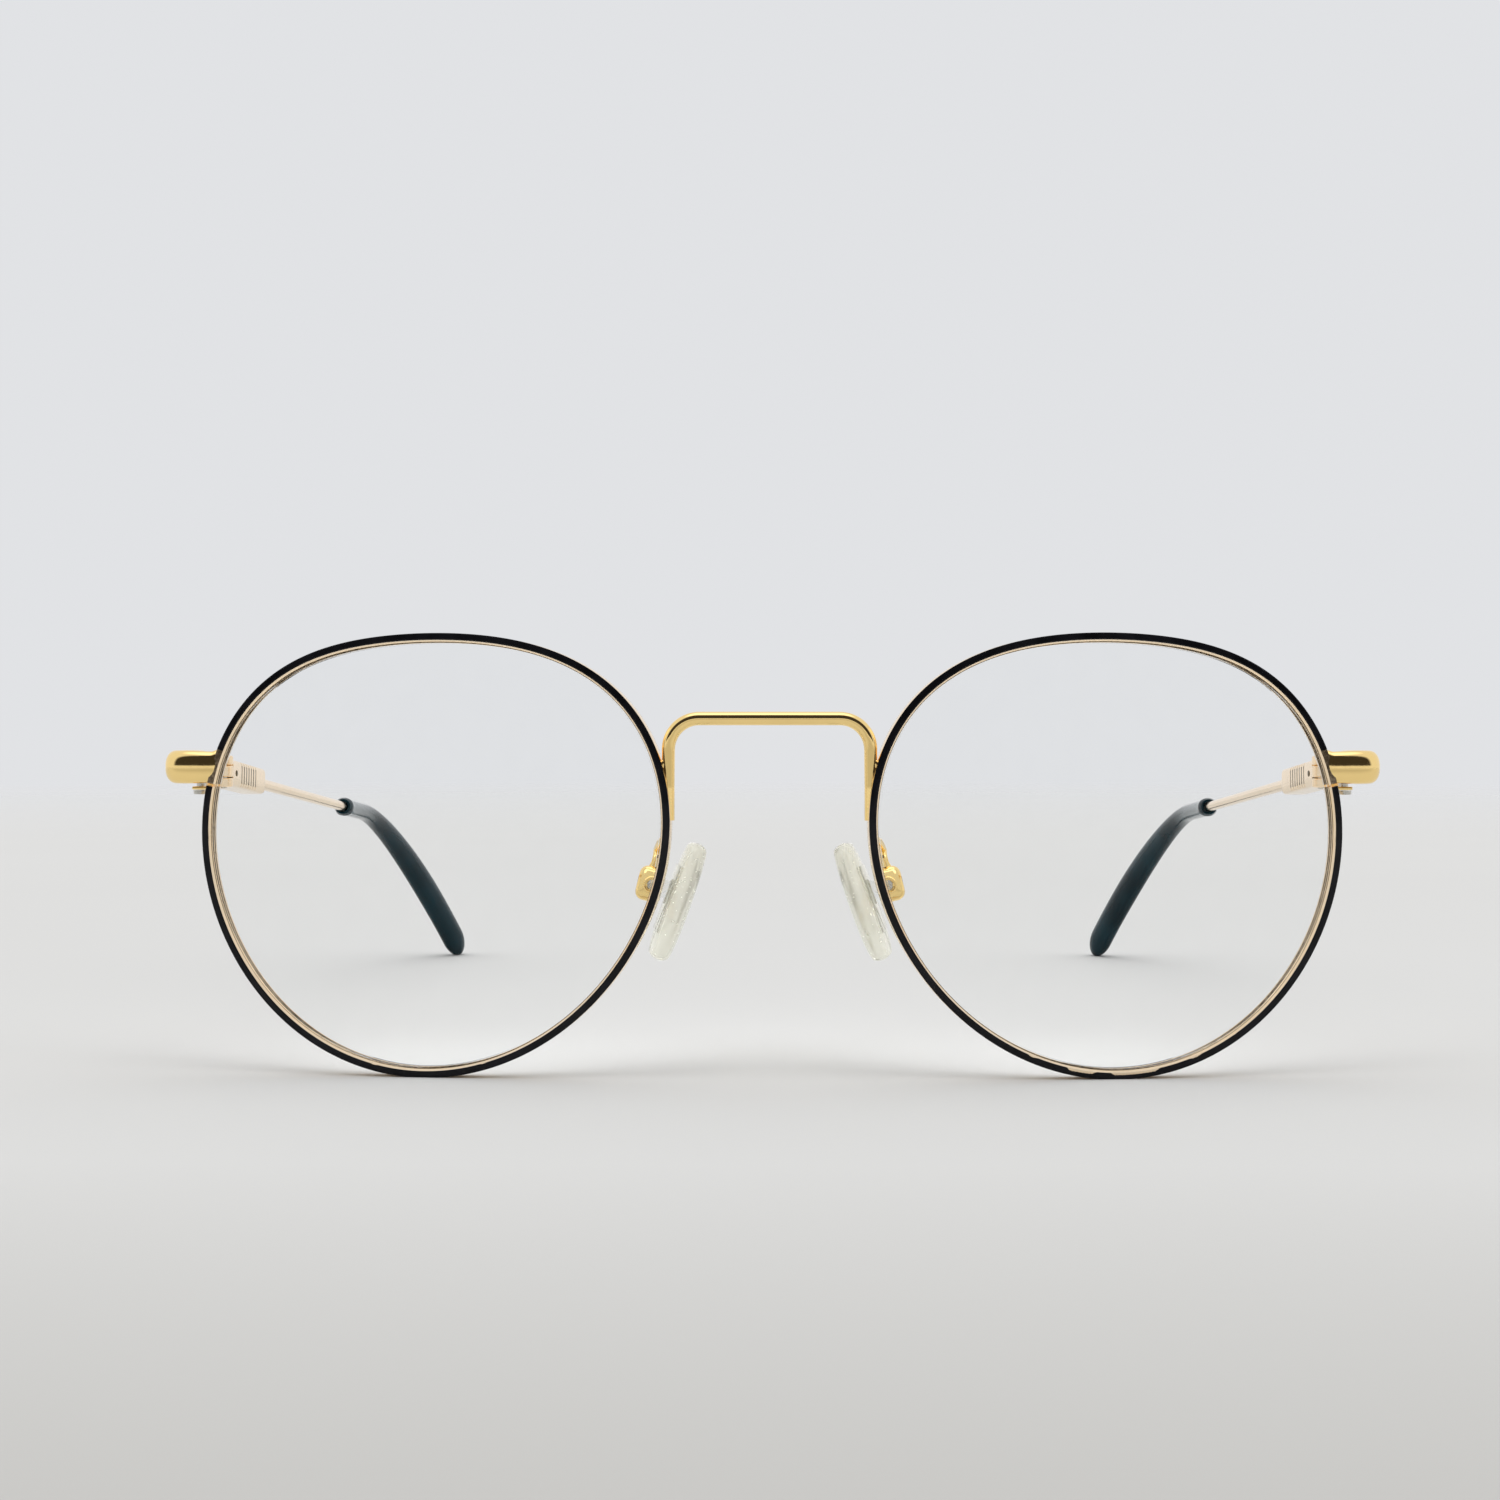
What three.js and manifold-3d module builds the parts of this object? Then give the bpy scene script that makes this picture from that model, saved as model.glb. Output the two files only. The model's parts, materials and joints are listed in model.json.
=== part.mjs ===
// Metal eyeglasses with a black enamelled face, sprung hinges, adjustable nose pads and acetate tips.
// Millimetres. +Z is up, the front faces -Y and the temples run back along +Y.
// The glasses stand open on their two rims and their two tips.
// Names end in _left or _right as the wearer says it: the wearer's left side is +X.
import * as THREE from "three";
import { ParametricGeometry } from "three/addons/geometries/ParametricGeometry.js";
import { mergeVertices } from "three/addons/utils/BufferGeometryUtils.js";
import Module from "manifold-3d";

const wasm = await Module();
wasm.setup();

// ---------- Driving dimensions ----------

// Front
const RIM_WIDTH = 52; // outline down the middle of one enamelled face, across
const RIM_HEIGHT = 48.4; // the same outline, up
const NOSE_GAP = 22.75; // between the two lens middles, less one rim's width
const WRAP = THREE.MathUtils.degToRad(5); // how far each lens turns back at its temple side
const BASE_RADIUS = 132; // sphere that the lens and its rim follow
const RIM_OUT = 0.42; // rim section, outwards from the outline
const RIM_IN = 0.66; // rim section, inwards from the outline
const RIM_FACE = 0.76; // width of the enamelled front face
const RIM_DEPTH = 2.2; // rim section, front to back
const GROOVE_MOUTH = 0.9;
const GROOVE_DEPTH = 0.5;
const LENS_THICKNESS = 1.6;
const LENS_FIT = 0.08; // lens edge to rim, all round
const BRAZE_GAP = 0.1; // between two pieces that are brazed or screwed face to face
const RUNNING_GAP = 0.12; // between two pieces that turn or slide
const SCREW_FIT = 0.05; // screw to its hole, in radius
const FLAT = 0.05; // how much the rims and tips are flattened where they stand

// Bridge
const BRIDGE_RISE = 15.88; // top of the bar above the middle of the rims
const BRIDGE_BAR = 1.6; // height of the bar
const BRIDGE_DEPTH = 1.9;
const BRIDGE_CORNER = 3.4; // centre line of the corner between bar and leg
const BRIDGE_LEG_WALL = 0.45; // how far a leg stands inside the rim's outer edge
const BRIDGE_FOOT_RISE = 3.93; // lower end of a leg, above the middle of the rims
const BRIDGE_BOW = 0.6; // how far the middle of the bar comes forward

// End piece, its lock block and the hinge in front
const END_HEIGHT = 3.8;
const END_THICKNESS = 2.6;
const END_RISE = 9.73; // its middle, above the middle of the rims
const END_REACH = 6.35; // outermost point beyond the rim's centre line
const LOCK_SLOT = 0.3; // split in the rim that the lock screw closes
const LOCK_HEIGHT = 0.7;
const LOCK_SCREW_RADIUS = 0.5;
const LOCK_HEAD_RADIUS = 0.85;
const LOCK_HEAD_HEIGHT = 0.45;
const HINGE_BACK = 7.2; // hinge pin behind the rim's centre line
const HINGE_DROP = 0.6; // middle of the hinge, below the middle of the end piece
const HINGE_STACK = 3.6; // the three knuckles together
const MIDDLE_KNUCKLE = 1.3;
const KNUCKLE_RADIUS = 1.25;
const HINGE_SCREW_RADIUS = 0.55;
const HINGE_HEAD_RADIUS = 0.95;
const HINGE_HEAD_HEIGHT = 0.4;
const END_TO_PIN = 1.5; // inner face of the end piece, outside the hinge pin
const END_PAST_PIN = 1.1; // the end piece's rear face, behind the hinge pin

// Temple
const TEMPLE_SLOPE = THREE.MathUtils.degToRad(4.9); // falls towards the ear
const BOX_START = 1.65; // front face of the spring box, behind the hinge pin
const BOX_LENGTH = 17;
const BOX_THICKNESS = 3.4;
const BOX_HEIGHT = 3.2;
const BOX_INSIDE = 0.9; // inner face of the spring box, inside the hinge pin
const BOX_HEEL_RADIUS = 1.1;
const RIB_COUNT = 7;
const RIB_PITCH = 1.15;
const RIB_START = 5.6; // first groove, behind the hinge pin
const RIB_WIDTH = 0.4;
const RIB_DEPTH = 0.25;
const CHAMBER_RADIUS = 1.0;
const CHAMBER_WALL = 1.05; // between the chamber and the end of the temple wire
const SLOT_DEPTH = 1.9; // slot for the slider's shoulder
const ROD_RADIUS = 0.4;
const SPRING_LENGTH = 6.4;
const SPRING_TURNS = 6;
const SPRING_WIRE_RADIUS = 0.16;
const BUSHING_LENGTH = 1.5;
const NUT_LENGTH = 0.8;
const PIN_RADIUS = 0.3;
const WIRE_RADIUS = 0.7;
const WIRE_IN_BOX = 1.5; // length of the wire's end inside the spring box
const TIP_START = 74.5; // along the temple, from the hinge pin
const BEND_START = 90;
const TIP_BACK = 130.5; // tip's end, behind the hinge pin
const TIP_INWARD = 9.3; // tip's end, inside the temple's line
const TIP_RADIUS = 1.25; // at the mouth of the tip
const TIP_PADDLE = 2.3; // half height of the tip near its end
const TIP_PADDLE_SIDE = 1.6; // half thickness there
const TIP_BORE_LENGTH = 40;
const TIP_END_RISE = 0.25; // centre line at the tip's end, above the ground

// Nose pads
const PAD_LENGTH = 14;
const PAD_WIDTH = 7.6;
const PAD_THICKNESS = 2.8;
const PAD_LEAN = THREE.MathUtils.degToRad(20); // upper ends lean in to the nose
const PAD_SPLAY = THREE.MathUtils.degToRad(10); // rear edges turn away from the nose
const PAD_OFFSET = 3.3; // from the pad screw to the middle of the pad
const PAD_SCREW_OUTSIDE = 1.925; // pad screw, outside the edge of the nose gap
const PAD_SCREW_BACK = 5.4; // middle of the pad screw, behind the front
const PAD_SCREW_DROP = 3.57; // below the middle of the rims
const PAD_BOX_HEIGHT = 4;
const PAD_BOX_SIDE = 2.9;
const PAD_BOX_DEPTH = 2.7;
const PAD_BOX_MOUTH = 1.15; // from the pad screw to the side that faces the pad
const PAD_BOX_CORNER = 0.9;
const PAD_BOX_LEAN = THREE.MathUtils.degToRad(14);
const LUG_RADIUS = 1.05;
const LUG_ROOM = 0.6; // above and below the lug, so that the pad can rock
const LUG_THICKNESS = 1.1;
const PAD_SCREW_RADIUS = 0.45;
const PAD_SCREW_HEAD = 0.8;
const ARM_RADIUS = 0.5;

// ---------- Materials ----------

const GOLD = { color: 0xd9b06a, metalness: 1, roughness: 0.18 };
const STEEL = { color: 0xc9c9c6, metalness: 1, roughness: 0.25 };
const ENAMEL = { color: 0x151513, metalness: 0.2, roughness: 0.22 };
const LENS = { color: 0xeef3f2, metalness: 0, roughness: 0.02, transparent: true, opacity: 0.2 };
const SILICONE = { color: 0xe6e4da, metalness: 0, roughness: 0.25, transparent: true, opacity: 0.6 };
const CLEAR_PLASTIC = { color: 0xf2f2ee, metalness: 0, roughness: 0.1, transparent: true, opacity: 0.6 };
const ACETATE = { color: 0x10181a, metalness: 0, roughness: 0.12 };

// ---------- Solids ----------

const vector = (x, y, z) => new THREE.Vector3(x, y, z);

// A closed geometry as a solid that can be joined and cut.
function toSolid(geometry) {
  const bare = geometry.clone();
  bare.deleteAttribute("normal");
  bare.deleteAttribute("uv");
  const merged = mergeVertices(bare, 1e-4);
  const build = (triVerts) =>
    new wasm.Manifold(
      new wasm.Mesh({ numProp: 3, vertProperties: merged.attributes.position.array, triVerts }),
    );
  const corners = new Uint32Array(merged.index.array);
  const solid = build(corners);
  return solid.volume() < 0 ? build(corners.reverse()) : solid;
}

function toGeometry(solid) {
  const { vertProperties, triVerts } = solid.getMesh();
  const geometry = new THREE.BufferGeometry();
  geometry.setAttribute("position", new THREE.BufferAttribute(vertProperties, 3));
  geometry.setIndex(new THREE.BufferAttribute(triVerts, 1));
  geometry.computeVertexNormals();
  return geometry;
}

const join = (first, ...others) => others.reduce((sum, solid) => sum.add(solid), first);
const cut = (first, ...others) => others.reduce((rest, solid) => rest.subtract(solid), first);

// A solid moved to a place, turned about X, then Y, then Z.
function placed(geometry, [x, y, z], [turnX, turnY, turnZ] = [0, 0, 0]) {
  const matrix = new THREE.Matrix4().makeRotationFromEuler(new THREE.Euler(turnX, turnY, turnZ, "ZYX"));
  matrix.setPosition(x, y, z);
  return toSolid(geometry.clone().applyMatrix4(matrix));
}

// A block from its lowest to its highest corner.
function block([x0, y0, z0], [x1, y1, z1]) {
  const geometry = new THREE.BoxGeometry(x1 - x0, y1 - y0, z1 - z0);
  return placed(geometry, [(x0 + x1) / 2, (y0 + y1) / 2, (z0 + z1) / 2]);
}

// A round bar along Z or Y, from one end to the other.
function bar(axis, radius, [x, y, z], length, sides = 16) {
  const geometry = new THREE.CylinderGeometry(radius, radius, length, sides);
  return axis === "z"
    ? placed(geometry, [x, y, z + length / 2], [Math.PI / 2, 0, 0])
    : placed(geometry, [x, y + length / 2, z]);
}

// A skin through rows of points: each row goes round once, and flat ends close a skin that isn't a loop.
function skin(rows, loop = false) {
  const around = rows[0].length;
  const middle = (row) => [
    row.reduce((sum, point) => sum.add(point), vector(0, 0, 0)).divideScalar(around),
  ];
  const all = loop ? [...rows, rows[0]] : [middle(rows[0]), ...rows, middle(rows.at(-1))];
  const place = (u, v, target) => {
    const row = all[Math.round(v * (all.length - 1))];
    target.copy(row[Math.round(u * around) % row.length]);
  };
  return toSolid(new ParametricGeometry(place, around, all.length - 1));
}

// A rounded section, from round (squareness 1) towards a rectangle (squareness near 0).
function roundedSection(halfA, halfB, squareness, sides) {
  const bend = (value) => Math.sign(value) * Math.abs(value) ** squareness;
  return Array.from({ length: sides }, (_, i) => {
    const angle = ((i + 0.5) / sides) * 2 * Math.PI;
    return [halfA * bend(Math.cos(angle)), halfB * bend(Math.sin(angle))];
  });
}

// A section set across a path at one point, with its first half-axis along `side`.
function across(section, point, tangent, side) {
  const a = side.clone().addScaledVector(tangent, -side.dot(tangent)).normalize();
  const b = tangent.clone().cross(a);
  return section.map(([p, q]) => point.clone().addScaledVector(a, p).addScaledVector(b, q));
}

// A round wire along a curve.
function wire(curve, radius, steps, sides = 8) {
  const shape = new THREE.Shape();
  shape.absarc(0, 0, radius, 0, 2 * Math.PI);
  const settings = { extrudePath: curve, steps, curveSegments: sides / 2, bevelEnabled: false };
  return toSolid(new THREE.ExtrudeGeometry(shape, settings));
}

// ---------- The rim's outline ----------

// One lens's shape in its own plane: +u towards the temple, +v up. The shoulder sits high at the temple
// side and the lower half narrows towards the cheek.
function rawOutline(t) {
  const u = Math.cos(t) - 0.122 * Math.sin(2 * t) - 0.03 * Math.cos(2 * t);
  const v = 0.96 * Math.sin(t) + 0.179 * Math.cos(2 * t) - 0.0114 * Math.sin(2 * t);
  return new THREE.Vector2(u, v);
}

const OUTLINE_STEPS = 360;
const RIM_STATIONS = 52;
const rawPoints = Array.from({ length: OUTLINE_STEPS }, (_, i) =>
  rawOutline((i / OUTLINE_STEPS) * 2 * Math.PI),
);
const rawBox = new THREE.Box2().setFromPoints(rawPoints);
const rawSize = rawBox.getSize(new THREE.Vector2());
const rawMiddle = rawBox.getCenter(new THREE.Vector2());
const outlinePoints = rawPoints.map((point) =>
  vector(
    ((point.x - rawMiddle.x) / rawSize.x) * RIM_WIDTH,
    0,
    ((point.y - rawMiddle.y) / rawSize.y) * RIM_HEIGHT,
  ),
);
const outline = new THREE.CatmullRomCurve3(outlinePoints, true);

// Evenly spaced stations on the outline, each with its outward direction.
const stations = Array.from({ length: RIM_STATIONS }, (_, i) => {
  const at = outline.getPointAt(i / RIM_STATIONS);
  const tangent = outline.getTangentAt(i / RIM_STATIONS);
  return { u: at.x, v: at.z, outU: tangent.z, outV: -tangent.x };
});

const RIM_MIDDLE_X = NOSE_GAP / 2 + RIM_WIDTH / 2;
const RIM_MIDDLE_Z = RIM_HEIGHT / 2 + RIM_OUT - FLAT;
const BRIDGE_TOP = RIM_MIDDLE_Z + BRIDGE_RISE;
const BRIDGE_FOOT = RIM_MIDDLE_Z + BRIDGE_FOOT_RISE;
const END_LEVEL = RIM_MIDDLE_Z + END_RISE;
const HINGE_LEVEL = END_LEVEL - HINGE_DROP;
const PAD_SCREW_SIDE = NOSE_GAP / 2 + PAD_SCREW_OUTSIDE;
const PAD_SCREW_LEVEL = RIM_MIDDLE_Z - PAD_SCREW_DROP;
const SAG = BASE_RADIUS - Math.sqrt(BASE_RADIUS ** 2 - (RIM_WIDTH / 2) ** 2);
const RIM_MIDDLE_Y = -SAG; // apex of the lens, so that the rims lie about y = 0

// A point on the lens's sphere, moved back by `back`, in the frame of the +X side.
function onLens(u, v, back) {
  const sag = BASE_RADIUS - Math.sqrt(BASE_RADIUS ** 2 - u * u - v * v) + back;
  return vector(
    RIM_MIDDLE_X + u * Math.cos(WRAP) - sag * Math.sin(WRAP),
    RIM_MIDDLE_Y + u * Math.sin(WRAP) + sag * Math.cos(WRAP),
    RIM_MIDDLE_Z + v,
  );
}

// A ring of points round the lens, moved outwards by `out` and back by `back`.
const lensRing = (out, back, scale = 1) =>
  stations.map(({ u, v, outU, outV }) => onLens((u + outU * out) * scale, (v + outV * out) * scale, back));

// The rim's centre line at one height, on its temple side or its nose side.
function rimAt(level, side) {
  const wanted = level - RIM_MIDDLE_Z;
  const near = outlinePoints.filter((point) => Math.sign(point.x) === side);
  const best = near.reduce((a, b) => (Math.abs(a.z - wanted) < Math.abs(b.z - wanted) ? a : b));
  return onLens(best.x, wanted, 0);
}

// ---------- Front ----------

const ground = block([-200, -200, -50], [200, 400, 0]);

// A rim's section as [outwards, back] points: a narrow front face, straight outside, V groove inside.
const rimSection = [
  [RIM_FACE / 2, -RIM_DEPTH / 2],
  [RIM_OUT, -RIM_DEPTH * 0.35],
  [RIM_OUT, RIM_DEPTH * 0.35],
  [RIM_FACE / 2, RIM_DEPTH / 2],
  [-RIM_IN, RIM_DEPTH / 2],
  [-RIM_IN, GROOVE_MOUTH / 2],
  [GROOVE_DEPTH - RIM_IN, 0],
  [-RIM_IN, -GROOVE_MOUTH / 2],
  [-RIM_FACE / 2, -RIM_DEPTH / 2],
];

const ringSolid = (section) => skin(section.map(([out, back]) => lensRing(out, back)), true);

// The space the rim takes, grown by a gap, that brazed neighbours are cut back to.
function rimSpace(gap) {
  const outside = RIM_OUT + gap;
  const inside = -RIM_IN - gap;
  const depth = RIM_DEPTH / 2 + gap;
  return ringSolid([[outside, -depth], [outside, depth], [inside, depth], [inside, -depth]]);
}

const noseEdge = Math.min(...lensRing(RIM_OUT, 0).map((point) => point.x));
const endRim = rimAt(END_LEVEL, 1); // rim's centre line where the end piece leaves it
const SPLIT_TOP = END_LEVEL - END_HEIGHT / 2;
const SPLIT_BOTTOM = SPLIT_TOP - LOCK_SLOT;

function eyewire() {
  const slot = block([endRim.x - 6, endRim.y - 6, SPLIT_BOTTOM], [endRim.x + 6, endRim.y + 6, SPLIT_TOP]);
  return cut(ringSolid(rimSection), slot, ground);
}

function lens() {
  const edge = -RIM_IN - LENS_FIT;
  const apex = GROOVE_DEPTH - RIM_IN - 2 * LENS_FIT;
  const bevel = GROOVE_MOUTH / 2 - LENS_FIT;
  const face = LENS_THICKNESS / 2;
  return skin([
    lensRing(edge, -face, 0.5),
    lensRing(edge, -face),
    lensRing(edge, -bevel),
    lensRing(apex, 0),
    lensRing(edge, bevel),
    lensRing(edge, face),
    lensRing(edge, face, 0.5),
  ]);
}

// The arch over the nose, brazed along the two rims.
function bridge(rimSpaces) {
  const half = BRIDGE_BAR / 2;
  const legX = noseEdge - BRIDGE_LEG_WALL + half;
  const barZ = BRIDGE_TOP - half;
  const path = new THREE.Path();
  path.moveTo(-legX, BRIDGE_FOOT);
  path.lineTo(-legX, barZ - BRIDGE_CORNER);
  path.absarc(-legX + BRIDGE_CORNER, barZ - BRIDGE_CORNER, BRIDGE_CORNER, Math.PI, Math.PI / 2, true);
  path.lineTo(legX - BRIDGE_CORNER, barZ);
  path.absarc(legX - BRIDGE_CORNER, barZ - BRIDGE_CORNER, BRIDGE_CORNER, Math.PI / 2, 0, true);
  path.lineTo(legX, BRIDGE_FOOT);
  const rimY = rimAt(BRIDGE_FOOT, -1).y;
  const steps = 40;
  const rows = Array.from({ length: steps + 1 }, (_, i) => {
    const at = path.getPointAt(i / steps);
    const along = path.getTangentAt(i / steps);
    const bow = BRIDGE_BOW * Math.cos((at.x / legX) * (Math.PI / 2));
    const section = roundedSection(BRIDGE_DEPTH / 2, half, 0.55, 10);
    return across(section, vector(at.x, rimY - bow, at.y), vector(along.x, 0, along.y), vector(0, 1, 0));
  });
  return cut(skin(rows), ...rimSpaces);
}

const HINGE_Y = endRim.y + HINGE_BACK;
const END_OUTSIDE = endRim.x + END_REACH;
const END_REAR_Y = HINGE_Y + END_PAST_PIN;
const END_REAR_X = END_OUTSIDE - END_THICKNESS / 2 - 1;
const HINGE_X = END_REAR_X - END_THICKNESS / 2 - END_TO_PIN;
const LOCK_X = endRim.x + 2.4;
const LOCK_Y = endRim.y + 2.2;
const LOCK_BOTTOM = SPLIT_BOTTOM - LOCK_HEIGHT;
const lockRim = rimAt(SPLIT_BOTTOM - LOCK_HEIGHT / 2, 1);

// The bar that leaves the rim, rounds the corner and runs back to the hinge.
function endPiece(space) {
  const reach = END_OUTSIDE - END_THICKNESS / 2;
  const path = new THREE.CatmullRomCurve3([
    vector(endRim.x + 0.2, endRim.y, END_LEVEL),
    vector(endRim.x + 1.9, endRim.y, END_LEVEL),
    vector(reach - 0.5, endRim.y + 0.8, END_LEVEL),
    vector(reach, endRim.y + 2.4, END_LEVEL),
    vector(reach - 0.5, endRim.y + 4, END_LEVEL),
    vector(END_REAR_X, HINGE_Y - 1.4, END_LEVEL),
    vector(END_REAR_X, END_REAR_Y, END_LEVEL),
  ]);
  const steps = 14;
  const rows = Array.from({ length: steps + 1 }, (_, i) => {
    const t = i / steps;
    const halfThickness = THREE.MathUtils.lerp(RIM_DEPTH, END_THICKNESS, Math.min(1, t * 3)) / 2;
    const section = roundedSection(halfThickness, END_HEIGHT / 2, 0.5, 12);
    const tangent = path.getTangentAt(t);
    return across(section, path.getPointAt(t), tangent, vector(tangent.y, -tangent.x, 0));
  });
  const hole = bar("z", LOCK_SCREW_RADIUS + SCREW_FIT, [LOCK_X, LOCK_Y, SPLIT_TOP - 1], END_HEIGHT * 0.5 + 1);
  const boss = block([LOCK_X - 1.1, endRim.y, SPLIT_TOP], [LOCK_X + 1.1, LOCK_Y + 1.1, END_LEVEL + 1]);
  return cut(join(skin(rows), boss), hole, space);
}

function lockBlock(space) {
  const body = block([lockRim.x, endRim.y - 0.4, LOCK_BOTTOM], [LOCK_X + 1.3, LOCK_Y + 1.2, SPLIT_BOTTOM]);
  const hole = bar("z", LOCK_SCREW_RADIUS + SCREW_FIT, [LOCK_X, LOCK_Y, LOCK_BOTTOM - 1], LOCK_HEIGHT + 2);
  return cut(body, hole, space);
}

function lockScrew() {
  const top = END_LEVEL - 0.4;
  const headTop = LOCK_BOTTOM - BRAZE_GAP;
  const headBottom = headTop - LOCK_HEAD_HEIGHT;
  const shank = bar("z", LOCK_SCREW_RADIUS, [LOCK_X, LOCK_Y, headBottom + 0.1], top - headBottom - 0.1, 12);
  const head = bar("z", LOCK_HEAD_RADIUS, [LOCK_X, LOCK_Y, headBottom], LOCK_HEAD_HEIGHT);
  const slotTop = headBottom + 0.2;
  const slot = block([LOCK_X - 2, LOCK_Y - 0.12, slotTop - 1], [LOCK_X + 2, LOCK_Y + 0.12, slotTop]);
  return cut(join(shank, head), slot);
}

// Two knuckles on a plate that is brazed inside the end piece.
function frontHinge() {
  const half = HINGE_STACK / 2;
  const gap = MIDDLE_KNUCKLE / 2 + RUNNING_GAP;
  const face = HINGE_X + END_TO_PIN - BRAZE_GAP;
  const bottom = HINGE_LEVEL - half;
  const top = HINGE_LEVEL + half;
  const barrel = bar("z", KNUCKLE_RADIUS, [HINGE_X, HINGE_Y, bottom], HINGE_STACK, 20);
  const web = block([HINGE_X, HINGE_Y - KNUCKLE_RADIUS, bottom], [face, HINGE_Y + 0.8, top]);
  const front = HINGE_Y - KNUCKLE_RADIUS - 1.1;
  const plate = block([HINGE_X + 0.2, front, bottom], [face, HINGE_Y - KNUCKLE_RADIUS + 0.1, top]);
  const middleSpace = block(
    [HINGE_X - 3, HINGE_Y - KNUCKLE_RADIUS - RUNNING_GAP, HINGE_LEVEL - gap],
    [HINGE_X + 3, HINGE_Y + 3, HINGE_LEVEL + gap],
  );
  const hole = bar("z", HINGE_SCREW_RADIUS + SCREW_FIT, [HINGE_X, HINGE_Y, bottom - 1], HINGE_STACK + 2);
  return cut(join(barrel, web, plate), middleSpace, hole);
}

function hingeScrew() {
  const bottom = HINGE_LEVEL - HINGE_STACK / 2 - 0.15;
  const top = HINGE_LEVEL + HINGE_STACK / 2 + BRAZE_GAP;
  const shank = bar("z", HINGE_SCREW_RADIUS, [HINGE_X, HINGE_Y, bottom], top - bottom + 0.1, 12);
  const head = bar("z", HINGE_HEAD_RADIUS, [HINGE_X, HINGE_Y, top], HINGE_HEAD_HEIGHT);
  const slotFloor = top + HINGE_HEAD_HEIGHT * 0.5;
  const slot = block([HINGE_X - 2, HINGE_Y - 0.13, slotFloor], [HINGE_X + 2, HINGE_Y + 0.13, slotFloor + 1]);
  return cut(join(shank, head), slot);
}

// ---------- Temple: built with the hinge pin at the origin and the temple straight along +Y ----------

const BOX_MIDDLE = BOX_THICKNESS / 2 - BOX_INSIDE; // chamber's axis, outside the hinge pin
const SHOULDER_END = BOX_START + 1.3;
const BUSHING_START = BOX_START + SLOT_DEPTH + RUNNING_GAP;
const SPRING_START = BUSHING_START + BUSHING_LENGTH + RUNNING_GAP;
const NUT_START = SPRING_START + SPRING_LENGTH + RUNNING_GAP;
const ROD_END = NUT_START + NUT_LENGTH + 0.2;
const NECK_HALF = 0.55;

// Turns a solid built along +Y down to the temple's slope, about the hinge pin.
const sloped = (solid) => solid.rotate([-THREE.MathUtils.radToDeg(TEMPLE_SLOPE), 0, 0]);

// Middle knuckle, shoulder and rod, which the spring pulls into the box.
function hingeSlider() {
  const knuckle = bar("z", KNUCKLE_RADIUS, [0, 0, -MIDDLE_KNUCKLE / 2], MIDDLE_KNUCKLE, 20);
  const neck = block([-0.7, 0, -NECK_HALF], [0.6, SHOULDER_END, NECK_HALF]);
  const shoulder = block([-0.7, BOX_START + 0.1, -NECK_HALF], [BOX_MIDDLE + 0.8, SHOULDER_END, NECK_HALF]);
  const rodStart = SHOULDER_END - 0.2;
  const rod = bar("y", ROD_RADIUS, [BOX_MIDDLE, rodStart, 0], ROD_END - rodStart, 10);
  const hole = bar("z", HINGE_SCREW_RADIUS + SCREW_FIT, [0, 0, -2], 4);
  return cut(join(knuckle, sloped(join(neck, shoulder, rod))), hole);
}

function sliderNut() {
  const body = bar("y", CHAMBER_RADIUS - RUNNING_GAP, [BOX_MIDDLE, NUT_START, 0], NUT_LENGTH, 12);
  const hole = bar("y", ROD_RADIUS + SCREW_FIT, [BOX_MIDDLE, NUT_START - 1, 0], NUT_LENGTH + 2, 10);
  return cut(body, hole);
}

function springBushing() {
  const body = bar("y", CHAMBER_RADIUS - RUNNING_GAP, [BOX_MIDDLE, BUSHING_START, 0], BUSHING_LENGTH, 12);
  const holeStart = BUSHING_START - 1;
  const hole = bar("y", ROD_RADIUS + SCREW_FIT * 2, [BOX_MIDDLE, holeStart, 0], BUSHING_LENGTH + 2, 10);
  return cut(body, hole, pinSpace(SCREW_FIT));
}

const PIN_Y = BUSHING_START + BUSHING_LENGTH / 2;
const PIN_TOP = -ROD_RADIUS - 0.25;
const PIN_BOTTOM = -BOX_HEIGHT / 2;
const pinSpace = (gap) =>
  bar("z", PIN_RADIUS + gap, [BOX_MIDDLE, PIN_Y, PIN_BOTTOM - gap], PIN_TOP - PIN_BOTTOM + 2 * gap, 10);

// A coil spring round the rod, between the bushing and the nut.
class Coil extends THREE.Curve {
  getPoint(t, target = new THREE.Vector3()) {
    const angle = t * SPRING_TURNS * 2 * Math.PI;
    const radius = (ROD_RADIUS + CHAMBER_RADIUS) / 2;
    const run = SPRING_LENGTH - 2 * SPRING_WIRE_RADIUS;
    const y = SPRING_START + SPRING_WIRE_RADIUS + t * run;
    return target.set(BOX_MIDDLE + radius * Math.cos(angle), y, radius * Math.sin(angle));
  }
}
const hingeSpring = () => wire(new Coil(), SPRING_WIRE_RADIUS, SPRING_TURNS * 9, 6);

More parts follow.
